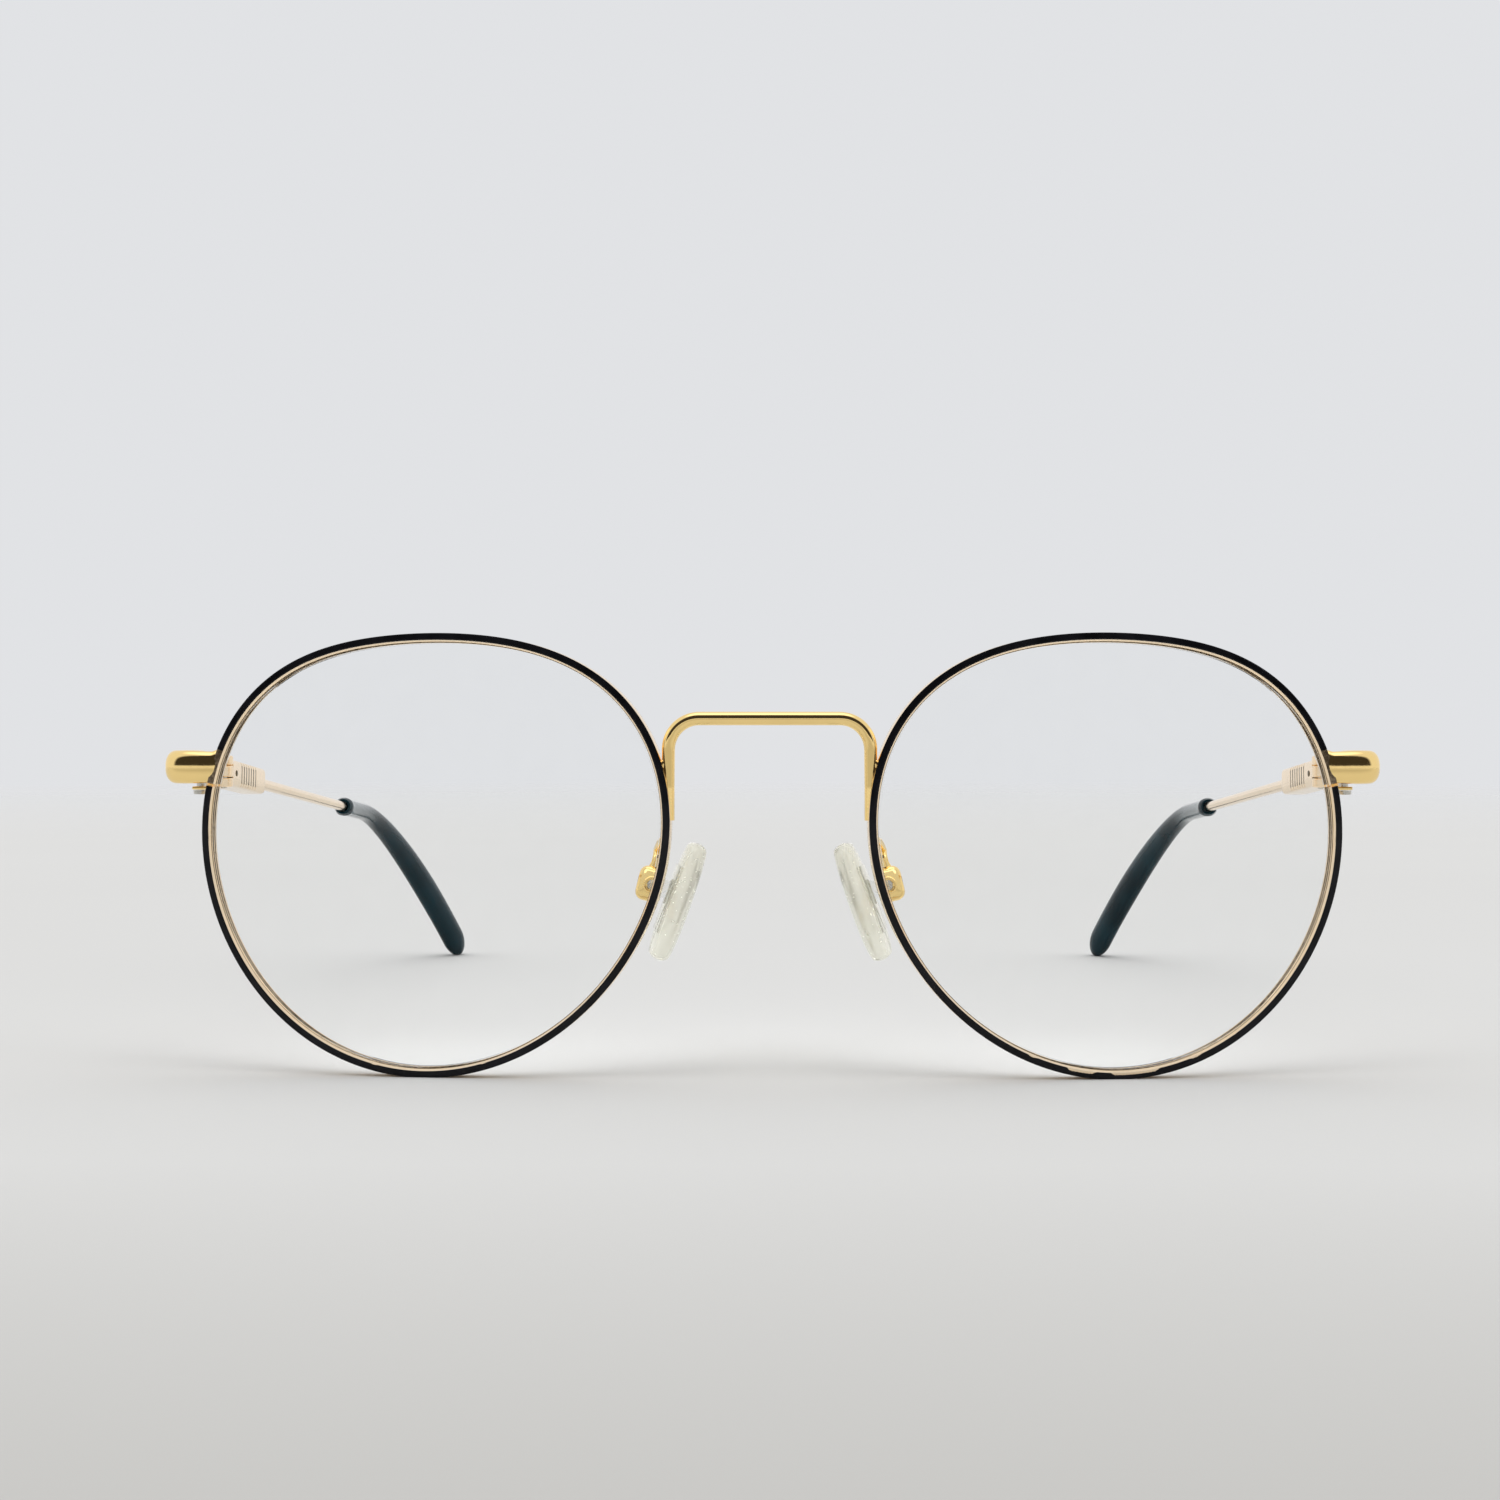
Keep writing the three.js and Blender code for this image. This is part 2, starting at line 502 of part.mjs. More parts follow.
// The housing brazed to the temple, with ribs on its inner face.
function springBox() {
  const inside = -BOX_INSIDE;
  const outside = BOX_THICKNESS - BOX_INSIDE;
  const rear = BOX_START + BOX_LENGTH;
  const edge = 0.35;
  const corner = 0.5;
  const nose = Math.min(1.2, BOX_THICKNESS / 2 - edge);
  const plan = new THREE.Shape();
  plan.moveTo(inside + edge + corner, BOX_START + edge);
  plan.lineTo(outside - BOX_HEEL_RADIUS, BOX_START + edge);
  const heel = BOX_HEEL_RADIUS - edge;
  plan.absarc(outside - BOX_HEEL_RADIUS, BOX_START + BOX_HEEL_RADIUS, heel, -Math.PI / 2, 0, false);
  plan.lineTo(outside - edge, rear - edge - nose);
  plan.absarc(outside - edge - nose, rear - edge - nose, nose, 0, Math.PI / 2, false);
  plan.absarc(inside + edge + nose, rear - edge - nose, nose, Math.PI / 2, Math.PI, false);
  plan.lineTo(inside + edge, BOX_START + edge + corner);
  plan.absarc(inside + edge + corner, BOX_START + edge + corner, corner, Math.PI, Math.PI * 1.5, false);
  const settings = { depth: BOX_HEIGHT - 2 * edge, curveSegments: 3, bevelThickness: edge, bevelSize: edge };
  const body = placed(new THREE.ExtrudeGeometry(plan, { ...settings, bevelSegments: 1 }), [
    0,
    0,
    -BOX_HEIGHT / 2 + edge,
  ]);
  const slotHalf = NECK_HALF + RUNNING_GAP;
  const slotFrom = [-0.7 - RUNNING_GAP, BOX_START - 1, -slotHalf];
  const slotTo = [BOX_MIDDLE + 0.8 + RUNNING_GAP, BOX_START + SLOT_DEPTH, slotHalf];
  const chamberStart = BOX_START + SLOT_DEPTH - 0.1;
  const chamberLength = rear - WIRE_IN_BOX - SCREW_FIT - CHAMBER_WALL - chamberStart;
  const chamber = bar("y", CHAMBER_RADIUS, [BOX_MIDDLE, chamberStart, 0], chamberLength, 16);
  const grooves = Array.from({ length: RIB_COUNT }, (_, i) => {
    const y = RIB_START + i * RIB_PITCH;
    return block([inside - 1, y, -BOX_HEIGHT], [inside + RIB_DEPTH, y + RIB_WIDTH, BOX_HEIGHT]);
  });
  const wireHole = bar("y", WIRE_RADIUS + SCREW_FIT, [BOX_MIDDLE, rear - WIRE_IN_BOX - SCREW_FIT, 0], 4, 12);
  return cut(body, block(slotFrom, slotTo), chamber, ...grooves, wireHole, pinSpace(SCREW_FIT));
}

// The temple's centre line from the spring box to the end of the tip.
const boxRear = BOX_START + BOX_LENGTH;
const FOOT_LEVEL = TIP_END_RISE - HINGE_LEVEL;
const straightEnd = vector(BOX_MIDDLE, BEND_START, 0).applyAxisAngle(vector(1, 0, 0), -TEMPLE_SLOPE);
const wireStart = vector(BOX_MIDDLE, boxRear - WIRE_IN_BOX, 0).applyAxisAngle(vector(1, 0, 0), -TEMPLE_SLOPE);
const tipEnd = vector(BOX_MIDDLE - TIP_INWARD, TIP_BACK, FOOT_LEVEL);
const templeLine = new THREE.CurvePath();
const straight = new THREE.LineCurve3(wireStart, straightEnd);
const bendPull = straightEnd.clone().sub(wireStart).normalize().multiplyScalar(17);
const bend = new THREE.CubicBezierCurve3(
  straightEnd,
  straightEnd.clone().add(bendPull),
  tipEnd.clone().add(vector(4.2, -10, 12.5)),
  tipEnd,
);
templeLine.add(straight);
templeLine.add(bend);
const LINE_LENGTH = templeLine.getLength();
const lineAt = (distance) => THREE.MathUtils.clamp(distance / LINE_LENGTH, 0, 1);
const TIP_FROM = TIP_START - boxRear + WIRE_IN_BOX; // distance along the line to the tip's mouth

// A stretch of the temple's line as a curve of its own.
class Stretch extends THREE.Curve {
  constructor(from, to) {
    super();
    this.from = from;
    this.to = to;
  }
  getPoint(t, target = new THREE.Vector3()) {
    return target.copy(templeLine.getPointAt(lineAt(this.from + (this.to - this.from) * t)));
  }
}

const templeWire = () => wire(new Stretch(0, TIP_FROM + TIP_BORE_LENGTH - 1), WIRE_RADIUS, 24, 8);

function templeTip() {
  const length = LINE_LENGTH - TIP_FROM;
  const stretch = new Stretch(TIP_FROM, LINE_LENGTH);
  const steps = 24;
  const rows = Array.from({ length: steps + 1 }, (_, i) => {
    const t = 1 - (1 - i / steps) ** 1.4;
    const swell = THREE.MathUtils.smoothstep(t * length, length * 0.2, length * 0.8);
    const end = Math.sqrt(Math.max(0.04, 1 - ((Math.max(t * length, length - 4) - length + 4) / 4) ** 2));
    const halfHigh = THREE.MathUtils.lerp(TIP_RADIUS, TIP_PADDLE, swell) * end;
    const halfSide = THREE.MathUtils.lerp(TIP_RADIUS, TIP_PADDLE_SIDE, swell) * end;
    const section = roundedSection(halfSide, halfHigh, 1, 10);
    return across(section, stretch.getPoint(t), stretch.getTangent(t), vector(1, 0.2, 0));
  });
  const bore = wire(new Stretch(TIP_FROM - 1, TIP_FROM + TIP_BORE_LENGTH), WIRE_RADIUS + BRAZE_GAP, 20, 8);
  const level = ground.translate([0, 0, -HINGE_LEVEL]);
  return cut(skin(rows), bore, level);
}

// ---------- Nose pads: built with the pad screw at the origin ----------

const PAD_SHIFT = vector(-PAD_OFFSET, 1.6, -1); // middle of the pad from its screw
const CORE_HALF = [0.35, 1.9, 4];
const LUG_REACH = PAD_OFFSET - PAD_THICKNESS / 2 + 0.1;

// Places a solid built about the pad's middle.
const atPad = (solid) =>
  solid.rotate([0, 0, -THREE.MathUtils.radToDeg(PAD_SPLAY)]).translate(PAD_SHIFT.toArray());

const corePlate = (gap) =>
  block(
    [PAD_THICKNESS / 2 - CORE_HALF[0] * 2 - gap, -CORE_HALF[1] - gap, -CORE_HALF[2] - gap],
    [PAD_THICKNESS / 2 + (gap ? 1 : 0), CORE_HALF[1] + gap, CORE_HALF[2] + gap],
  );

// The soft pad: a drop-shaped cushion, thicker in the middle.
function nosePad() {
  const levels = 10;
  const rows = Array.from({ length: levels + 1 }, (_, i) => {
    const height = THREE.MathUtils.lerp(-0.985, 0.985, i / levels);
    const round = Math.sqrt(1 - height ** 2) ** 0.75;
    const halfWidth = (PAD_WIDTH / 2) * round * (1 - 0.14 * height);
    const halfThickness = (PAD_THICKNESS / 2) * THREE.MathUtils.lerp(0.62, 1, round);
    const section = roundedSection(halfThickness, halfWidth, 0.7, 14);
    return section.map(([x, y]) => vector(x, y, (height * PAD_LENGTH) / 2));
  });
  return atPad(cut(skin(rows), corePlate(BRAZE_GAP)));
}

// Hard insert with the lug that the pad box holds.
function padCore() {
  const lugHalf = LUG_THICKNESS / 2;
  const round = bar("y", LUG_RADIUS, [0, -lugHalf, 0], LUG_THICKNESS, 16);
  const arm = block([-LUG_REACH - 0.3, -lugHalf, -LUG_RADIUS], [0, lugHalf, LUG_RADIUS]);
  const foot = block([-LUG_REACH - 0.5, -lugHalf, -1.6], [-LUG_REACH + 0.15, PAD_SHIFT.y + 0.3, 1.3]);
  const hole = bar("y", PAD_SCREW_RADIUS + SCREW_FIT, [0, -2, 0], 4, 12);
  const rest = cut(join(round, arm, foot), hole);
  return join(atPad(corePlate(0)), cut(rest, atPad(padBlank())));
}

// The cushion's plain block, used to keep the lug clear of the silicone.
function padBlank() {
  const half = PAD_THICKNESS / 2 + BRAZE_GAP;
  const slab = block([-half, -PAD_WIDTH, -PAD_LENGTH], [half, PAD_WIDTH, PAD_LENGTH]);
  return cut(slab, corePlate(-0.05).translate([0.2, 0, 0]));
}

// The cup on the pad arm: two walls with the lug between them.
function padBox() {
  const inner = -PAD_BOX_MOUTH;
  const outer = PAD_BOX_SIDE - PAD_BOX_MOUTH;
  const half = PAD_BOX_HEIGHT / 2;
  const round = PAD_BOX_CORNER;
  const face = new THREE.Shape();
  face.absarc(inner + round, half - round, round, Math.PI / 2, Math.PI, false);
  face.absarc(inner + round, -half + round, round, Math.PI, Math.PI * 1.5, false);
  face.absarc(outer - round, -half + round, round, -Math.PI / 2, 0, false);
  face.absarc(outer - round, half - round, round, 0, Math.PI / 2, false);
  const settings = { depth: PAD_BOX_DEPTH, curveSegments: 3, bevelEnabled: false };
  const upright = [Math.PI / 2, 0, 0];
  const body = placed(new THREE.ExtrudeGeometry(face, settings), [0, PAD_BOX_DEPTH / 2, 0], upright);
  const slot = LUG_THICKNESS / 2 + RUNNING_GAP;
  const slotHalf = LUG_RADIUS + LUG_ROOM;
  const lugSpace = block([-3, -slot, -slotHalf], [LUG_RADIUS + RUNNING_GAP, slot, slotHalf]);
  const hole = bar("y", PAD_SCREW_RADIUS + SCREW_FIT, [0, -3, 0], 6, 12);
  const dish = bar("y", PAD_SCREW_HEAD + SCREW_FIT, [0, -PAD_BOX_DEPTH / 2 - 1, 0], 1.25, 14);
  return cut(body, lugSpace, hole, dish);
}

function padScrew() {
  const front = -PAD_BOX_DEPTH / 2;
  const shank = bar("y", PAD_SCREW_RADIUS, [0, front + 0.1, 0], PAD_BOX_DEPTH - 0.2, 10);
  const head = bar("y", PAD_SCREW_HEAD, [0, front - 0.15, 0], 0.35, 14);
  return join(shank, head);
}

// The wire that leaves the back of the rim, rounds its nose side and comes down on the cup.
function padArm() {
  const rim = onLens(-RIM_WIDTH / 2, PAD_SCREW_LEVEL + 4 - RIM_MIDDLE_Z, RIM_DEPTH / 2 + BRAZE_GAP);
  const screw = vector(PAD_SCREW_SIDE, PAD_SCREW_BACK, PAD_SCREW_LEVEL);
  const top = PAD_BOX_HEIGHT / 2 + BRAZE_GAP;
  const aboveCup = (outwards, back, up) =>
    vector(outwards, back, top + up).applyAxisAngle(vector(0, 1, 0), -PAD_BOX_LEAN).add(screw);
  const curve = new THREE.CatmullRomCurve3([
    vector(rim.x + 0.1, rim.y + ARM_RADIUS, rim.z - 1.2),
    vector(rim.x - 0.1, rim.y + ARM_RADIUS, rim.z),
    vector(rim.x - 0.2, rim.y + 1.4, rim.z + 0.9),
    vector(rim.x + 0.5, rim.y + 3.2, rim.z + 1.2),
    aboveCup(0.5, 0.5, 1.9),
    aboveCup(0.4, 0, 1),
    aboveCup(0.4, 0, 0),
  ]);
  return wire(curve, ARM_RADIUS, 22, 8);
}

// ---------- Assembly ----------

const glasses = new THREE.Group();

function addPiece(parent, name, solid, look, position = [0, 0, 0]) {
  const mesh = new THREE.Mesh(toGeometry(solid), new THREE.MeshStandardMaterial(look));
  mesh.name = name;
  mesh.position.set(...position);
  parent.add(mesh);
}

// Every piece of the +X side. The other side is the same group mirrored.
function addSide(suffix, mirror) {
  const side = new THREE.Group();
  side.scale.x = mirror;
  glasses.add(side);
  const space = rimSpace(BRAZE_GAP);
  const add = (name, solid, look) => addPiece(side, name + suffix, solid, look);

  add("eyewire", eyewire(), ENAMEL);
  add("lens", lens(), LENS);
  add("end_piece", endPiece(space), GOLD);
  add("lock_block", lockBlock(space), GOLD);
  add("lock_screw", lockScrew(), STEEL);
  add("front_hinge", frontHinge(), GOLD);
  add("hinge_screw", hingeScrew(), STEEL);
  add("pad_arm", padArm(), GOLD);

  const temple = new THREE.Group();
  temple.position.set(HINGE_X, HINGE_Y, HINGE_LEVEL);
  side.add(temple);
  const addTemple = (name, solid, look) => addPiece(temple, name + suffix, solid, look);
  addTemple("hinge_slider", hingeSlider(), STEEL);
  addTemple("slider_nut", sloped(sliderNut()), STEEL);
  addTemple("spring_bushing", sloped(springBushing()), STEEL);
  addTemple("hinge_spring", sloped(hingeSpring()), STEEL);
  addTemple("box_pin", sloped(pinSpace(0)), GOLD);
  addTemple("spring_box", sloped(springBox()), GOLD);
  addTemple("temple_wire", templeWire(), GOLD);
  addTemple("temple_tip", templeTip(), ACETATE);

  const pad = new THREE.Group();
  pad.position.set(PAD_SCREW_SIDE, PAD_SCREW_BACK, PAD_SCREW_LEVEL);
  side.add(pad);
  const lean = (solid, angle) => solid.rotate([0, -THREE.MathUtils.radToDeg(angle), 0]);
  addPiece(pad, "pad_box" + suffix, lean(padBox(), PAD_BOX_LEAN), GOLD);
  addPiece(pad, "pad_screw" + suffix, padScrew(), STEEL);
  addPiece(pad, "nose_pad" + suffix, lean(nosePad(), PAD_LEAN), SILICONE);
  addPiece(pad, "pad_core" + suffix, lean(padCore(), PAD_LEAN), CLEAR_PLASTIC);
}

addSide("_left", 1);
addSide("_right", -1);
const space = rimSpace(BRAZE_GAP);
addPiece(glasses, "bridge", bridge([space, space.mirror([1, 0, 0])]), GOLD);

// The origin is on the ground, midway between the sides and between the front and the tips' ends.
const extent = new THREE.Box3().setFromObject(glasses);
glasses.position.y = -(extent.min.y + extent.max.y) / 2;

export default glasses;
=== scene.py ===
import json
from math import cos, pi, radians, sin

import bpy
import numpy as np
from bpy.props import FloatProperty, FloatVectorProperty, IntProperty, PointerProperty
from mathutils import Matrix, Vector


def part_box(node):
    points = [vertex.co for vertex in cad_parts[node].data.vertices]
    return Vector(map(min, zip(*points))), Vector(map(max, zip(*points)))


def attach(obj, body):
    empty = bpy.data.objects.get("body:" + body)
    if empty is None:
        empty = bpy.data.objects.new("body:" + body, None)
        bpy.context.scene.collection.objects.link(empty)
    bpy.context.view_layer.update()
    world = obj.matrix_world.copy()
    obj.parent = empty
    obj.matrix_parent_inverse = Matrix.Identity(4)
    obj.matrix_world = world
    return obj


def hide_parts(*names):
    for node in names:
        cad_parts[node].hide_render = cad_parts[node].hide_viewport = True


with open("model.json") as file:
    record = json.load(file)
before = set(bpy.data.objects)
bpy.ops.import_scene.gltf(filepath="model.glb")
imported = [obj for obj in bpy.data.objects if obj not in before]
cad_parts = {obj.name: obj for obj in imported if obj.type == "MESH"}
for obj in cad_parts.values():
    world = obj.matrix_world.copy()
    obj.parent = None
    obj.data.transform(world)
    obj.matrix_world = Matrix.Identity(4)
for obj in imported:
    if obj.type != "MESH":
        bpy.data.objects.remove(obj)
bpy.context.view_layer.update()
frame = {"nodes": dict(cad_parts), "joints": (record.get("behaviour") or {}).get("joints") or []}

bl_info = {
    "name": "Round metal eyeglasses",
    "version": (1, 0, 0),
    "blender": (4, 5, 0),
    "location": "3D View > Sidebar > Eyeglasses",
    "description": "Builds gold metal eyeglasses with black enamelled rims round their packed frame",
    "category": "Add Mesh",
}

MM = 0.001
SIDES = (("left", 1), ("right", -1))  # the wearer's left is +X
SHARP = radians(35)  # edges that turn more than this are not smoothed
WIRE_IN_BOX = 1.5 * MM  # how far each temple wire reaches into its spring box


# ---------- Sizes and colours a user may change ----------


def length(name, millimetres, description):
    default = millimetres * MM
    return FloatProperty(name=name, description=description, default=default, unit="LENGTH", precision=5)


def angle(name, degrees, description):
    return FloatProperty(name=name, description=description, default=radians(degrees), subtype="ANGLE")


def colour(name, rgb, description):
    return FloatVectorProperty(name=name, description=description, default=rgb, subtype="COLOR", min=0, max=1)


class RimSizes(bpy.types.PropertyGroup):
    """The lens outline and the section of the metal round it."""

    width: length("Width", 52, "Outline down the middle of one enamelled face, across")
    height: length("Height", 48.4, "The same outline, up")
    nose_gap: length("Nose gap", 22.75, "Between the two lens middles, less one rim's width")
    wrap: angle("Wrap", 5, "How far each lens turns back at its temple side")
    base: length("Base radius", 132, "Radius of the sphere that lens and rim follow")
    outside: length("Outside", 0.42, "Section, outwards from the outline")
    inside: length("Inside", 0.66, "Section, inwards from the outline")
    depth: length("Depth", 2.2, "Section, front to back")
    groove_mouth: length("Groove mouth", 0.9, "Width of the V groove that holds the lens")
    groove_depth: length("Groove depth", 0.5, "Depth of the V groove")
    slot: length("Slot", 0.3, "Split that the lock screw closes")
    enamel_width: length("Enamel width", 0.78, "Width of the black enamel on the front face")
    enamel_rise: length("Enamel rise", 0.1, "How far the enamel stands above the metal")
    lens_thickness: length("Lens thickness", 1.6, "Thickness of a lens")


class BridgeSizes(bpy.types.PropertyGroup):
    """The arch over the nose."""

    bar: length("Bar", 1.5, "Thickness of the bar, up")
    depth: length("Depth", 1.8, "Bar and legs, front to back")
    corner: length("Corner", 3.4, "Centre line radius between bar and leg")
    leg_wall: length("Leg wall", 0.45, "How far a leg stands inside the rim's outer edge")
    bow: length("Bow", 0.6, "How far the middle of the bar comes forward")


class EndPieceSizes(bpy.types.PropertyGroup):
    """The bar at each corner, the lock block under it and the hinge behind it."""

    height: length("Height", 3.75, "End piece, up")
    thickness: length("Thickness", 2.6, "End piece, through its bar")
    reach: length("Reach", 6.35, "Outermost point beyond the rim's centre line")
    knuckle: length("Knuckle", 1.25, "Radius of the hinge knuckles")
    stack: length("Stack", 3.6, "Height of the three knuckles together")
    middle: length("Middle knuckle", 1.3, "Height of the middle knuckle")
    pin: length("Pin", 0.55, "Radius of the hinge screw")
    to_pin: length("To the pin", 1.5, "From the hinge pin out to the end piece")


class TempleSizes(bpy.types.PropertyGroup):
    """Spring box, wire and tip of one temple, measured from the hinge pin."""

    slope: angle("Slope", 4.9, "How far the temple falls towards the ear")
    box_start: length("Box start", 1.65, "Front face of the spring box, behind the pin")
    box_length: length("Box length", 17, "Length of the spring box")
    box_thickness: length("Box thickness", 3.4, "Spring box, across")
    box_height: length("Box height", 3.2, "Spring box, up")
    box_inside: length("Box inside", 0.9, "Inner face of the spring box, inside the pin")
    ribs: IntProperty(name="Ribs", description="Grooves on the spring box's inner face", default=7, min=0)
    rib_start: length("Rib start", 5.8, "Middle of the first groove, behind the pin")
    rib_pitch: length("Rib pitch", 1.15, "From one groove to the next")
    rib_width: length("Rib width", 0.45, "Width of a groove")
    rib_depth: length("Rib depth", 0.25, "Depth of a groove")
    wire: length("Wire", 0.7, "Radius of the temple wire")
    tip_start: length("Tip start", 74.5, "Mouth of the tip, behind the pin")
    bend_start: length("Bend start", 90, "Where the temple begins to bend")
    tip_back: length("Tip back", 130.5, "End of the tip, behind the pin")
    tip_inward: length("Tip inward", 9.3, "End of the tip, inside the temple's line")
    tip_mouth: length("Tip mouth", 1.25, "Radius of the tip at its mouth")
    tip_high: length("Tip height", 2.3, "Half height of the tip near its end")
    tip_side: length("Tip side", 1.6, "Half thickness of the tip near its end")


class PadSizes(bpy.types.PropertyGroup):
    """Nose pads and what holds them."""

    length: length("Length", 14, "Pad, along its long side")
    width: length("Width", 7.6, "Pad, across")
    thickness: length("Thickness", 2.8, "Pad, through its middle")
    lean: angle("Lean", 20, "How far the pads' upper ends lean in to the nose")
    splay: angle("Splay", 10, "How far the pads' rear edges turn away from the nose")
    offset: length("Offset", 3.3, "From the pad screw to the middle of the pad")
    cup_height: length("Cup height", 4, "Cup, up")
    cup_width: length("Cup width", 2.9, "Cup, across")
    cup_depth: length("Cup depth", 2.7, "Cup, front to back")
    cup_mouth: length("Cup mouth", 1.15, "From the pad screw to the side that faces the pad")
    cup_lean: angle("Cup lean", 14, "How far the cups lean in to the nose")
    arm: length("Arm", 0.42, "Radius of the pad arm's wire")


class Finishes(bpy.types.PropertyGroup):
    """Colours of the finishes."""

    gold: colour("Gold", (0.96, 0.71, 0.30), "Gold plating")
    # The pale gold is the same gold plating painted paler: painted reflection of the pale floor and backdrop,
    # used on the rims, hinges, spring boxes and temple wires.
    pale_gold_painted_reflection: colour("Pale gold", (0.99, 0.79, 0.55), "Plating painted paler as reflected light, and on the temples")
    enamel: colour("Enamel", (0.004, 0.004, 0.005), "Black enamel")
    steel: colour("Steel", (0.66, 0.64, 0.58), "Bare screws and hinge parts")
    acetate: colour("Acetate", (0.003, 0.014, 0.019), "Dark temple tips")
    acetate_light: colour("Light acetate", (0.26, 0.29, 0.30), "Tips near their mouths, over the wire")
    silicone: colour("Silicone", (0.97, 0.96, 0.86), "Clear nose pads")
    floor: colour("Floor", (0.70, 0.70, 0.69), "Floor")
    backdrop: colour("Backdrop", (0.755, 0.765, 0.785), "What is seen beyond the floor")


class StageSizes(bpy.types.PropertyGroup):
    """Camera and floor."""

    distance: length("Distance", 250, "Camera in front of the rims")
    height: length("Height", 37.8, "Camera above the floor")
    aside: length("Aside", 2.1, "Camera to the wearer's left")
    turn: angle("Turn", 0.98, "Camera turned towards the wearer's right")
    dip: angle("Dip", 0.36, "Camera turned down")
    focal: FloatProperty(
        name="Focal length", description="Of the camera", default=54.12, subtype="DISTANCE_CAMERA"
    )
    floor: length("Floor", 1600, "Radius of the floor")


GROUPS = (
    ("rim", RimSizes),
    ("bridge", BridgeSizes),
    ("end_piece", EndPieceSizes),
    ("temple", TempleSizes),
    ("pad", PadSizes),
    ("finish", Finishes),
    ("stage", StageSizes),
)


def sizes(group):
    return getattr(bpy.context.scene, "glasses_" + group)


# ---------- Places taken from the frame ----------


def low_high(node):
    low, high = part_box(node)
    return np.array(low), np.array(high)


def joint_place(name):
    joint = next(j for j in frame["joints"] if j["name"] == name)
    return np.array(joint["pos_m"])


HINGE = joint_place("temple_fold_left")
PAD_SCREW = joint_place("pad_rock_left")


def mm(*values):
    """Millimetres as metres."""
    return np.array(values) * MM


# ---------- Surfaces ----------


def skin(rows, loop=False):
    """Quads through rows of points (rows, around, 3). Each row goes round once; a loop joins the last row to
    the first, and otherwise each end is closed by one flat face. The faces point outwards."""
    count, around = rows.shape[:2]
    index = np.arange(count * around).reshape(count, around)
    if loop:
        index = np.vstack([index, index[:1]])
    right = np.roll(index, -1, axis=1)
    quads = np.stack([index[:-1], right[:-1], right[1:], index[1:]], axis=-1).reshape(-1, 4)
    faces = quads.tolist()
    if not loop:
        faces += [index[0, ::-1].tolist(), index[-1].tolist()]
    points = rows.reshape(-1, 3)
    return (points, faces) if volume(points, faces) > 0 else (points, [face[::-1] for face in faces])


def volume(points, faces):
    """Six times the signed volume of a closed shape: each face is a fan of triangles, and a triangle counts
    a . (b x c)."""
    middle = points.mean(axis=0)
    fans = np.array([(f[0], f[k], f[k + 1]) for f in faces for k in range(1, len(f) - 1)])
    a, b, c = (points[fans] - middle).transpose(1, 0, 2)
    return float(np.einsum("ij,ij->i", a, np.cross(b, c)).sum())


def joined(*parts):
    """Several closed shapes as one list of points and faces."""
    points, faces, start = [], [], 0
    for own_points, own_faces in parts:
        points.append(own_points)
        faces += [[corner + start for corner in face] for face in own_faces]
        start += len(own_points)
    return np.vstack(points), faces


def mirrored(shape, sign):
    """The shape itself for a sign of 1, and its mirror image in X for -1."""
    points, faces = shape
    return points * [sign, 1, 1], faces if sign > 0 else [face[::-1] for face in faces]


def added(name, data):
    """A new object in the scene."""
    made = bpy.data.objects.new(name, data)
    bpy.context.scene.collection.objects.link(made)
    return made


def piece(name, shape, finish, body, replaces=()):
    """Makes one Blender piece from (points, faces), smooth except at sharp edges."""
    points, faces = shape
    mesh = bpy.data.meshes.new(name)
    mesh.from_pydata(points.tolist(), [], faces)
    mesh.polygons.foreach_set("use_smooth", np.ones(len(mesh.polygons), dtype=bool))
    mesh.set_sharp_from_angle(angle=SHARP)
    mesh.materials.append(bpy.data.materials[finish])
    made = added(name, mesh)
    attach(made, body)
    if replaces:
        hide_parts(*replaces)


def both_sides(name, shape, finish, body, replaces=()):
    """Makes a piece for +X and its mirror image for -X. A moving body's name ends in its side."""
    for side, sign in SIDES:
        rides = body if body == "front" else f"{body}_{side}"
        nodes = [f"{node}_{side}" for node in replaces]
        piece(f"{name}_{side}", mirrored(shape, sign), finish, rides, nodes)


def unit(vectors):
    return vectors / np.linalg.norm(vectors, axis=-1, keepdims=True)


def rounded(half_a, half_b, squareness, count):
    """Superellipse sections: a = A sgn(cos)|cos|^n and b = B sgn(sin)|sin|^n, for one or many half sizes."""
    turn = (np.arange(count) + 0.5) / count * 2 * pi
    across = np.sign(np.cos(turn)) * np.abs(np.cos(turn)) ** squareness
    up = np.sign(np.sin(turn)) * np.abs(np.sin(turn)) ** squareness
    half_a, half_b = np.broadcast_arrays(np.atleast_1d(half_a), np.atleast_1d(half_b))
    return np.stack([half_a[:, None] * across, half_b[:, None] * up], axis=-1)


def carried(path, section, side):
    """Carries a section along a path: each point is path + a * side + b * third, where side is made square to
    the path and third is square to both."""
    along = unit(np.gradient(path, axis=0))
    side = np.broadcast_to(side, path.shape)
    side = unit(side - np.sum(side * along, axis=1, keepdims=True) * along)
    third = np.cross(along, side)
    section = np.broadcast_to(section, (len(path), *section.shape[-2:]))
    return path[:, None] + section[..., :1] * side[:, None] + section[..., 1:] * third[:, None]


def stacked(heights, centre_a, half_a, half_b, squareness, count=40):
    """Sections in X and Z stacked along Y, each with its own centre in X and half sizes."""
    heights, centre_a, half_a, half_b = np.broadcast_arrays(heights, centre_a, half_a, half_b)
    section = rounded(half_a, half_b, squareness, count)
    level = np.broadcast_to(heights[:, None], section.shape[:2])
    return np.stack([section[..., 0] + centre_a[:, None], level, section[..., 1]], axis=-1)


def evenly(points, count):
    """Resamples a polyline at even distances along it."""
    run = np.concatenate([[0], np.cumsum(np.linalg.norm(np.diff(points, axis=0), axis=1))])
    wanted = np.linspace(0, run[-1], count)
    return np.stack([np.interp(wanted, run, points[:, k]) for k in range(points.shape[1])], axis=1)


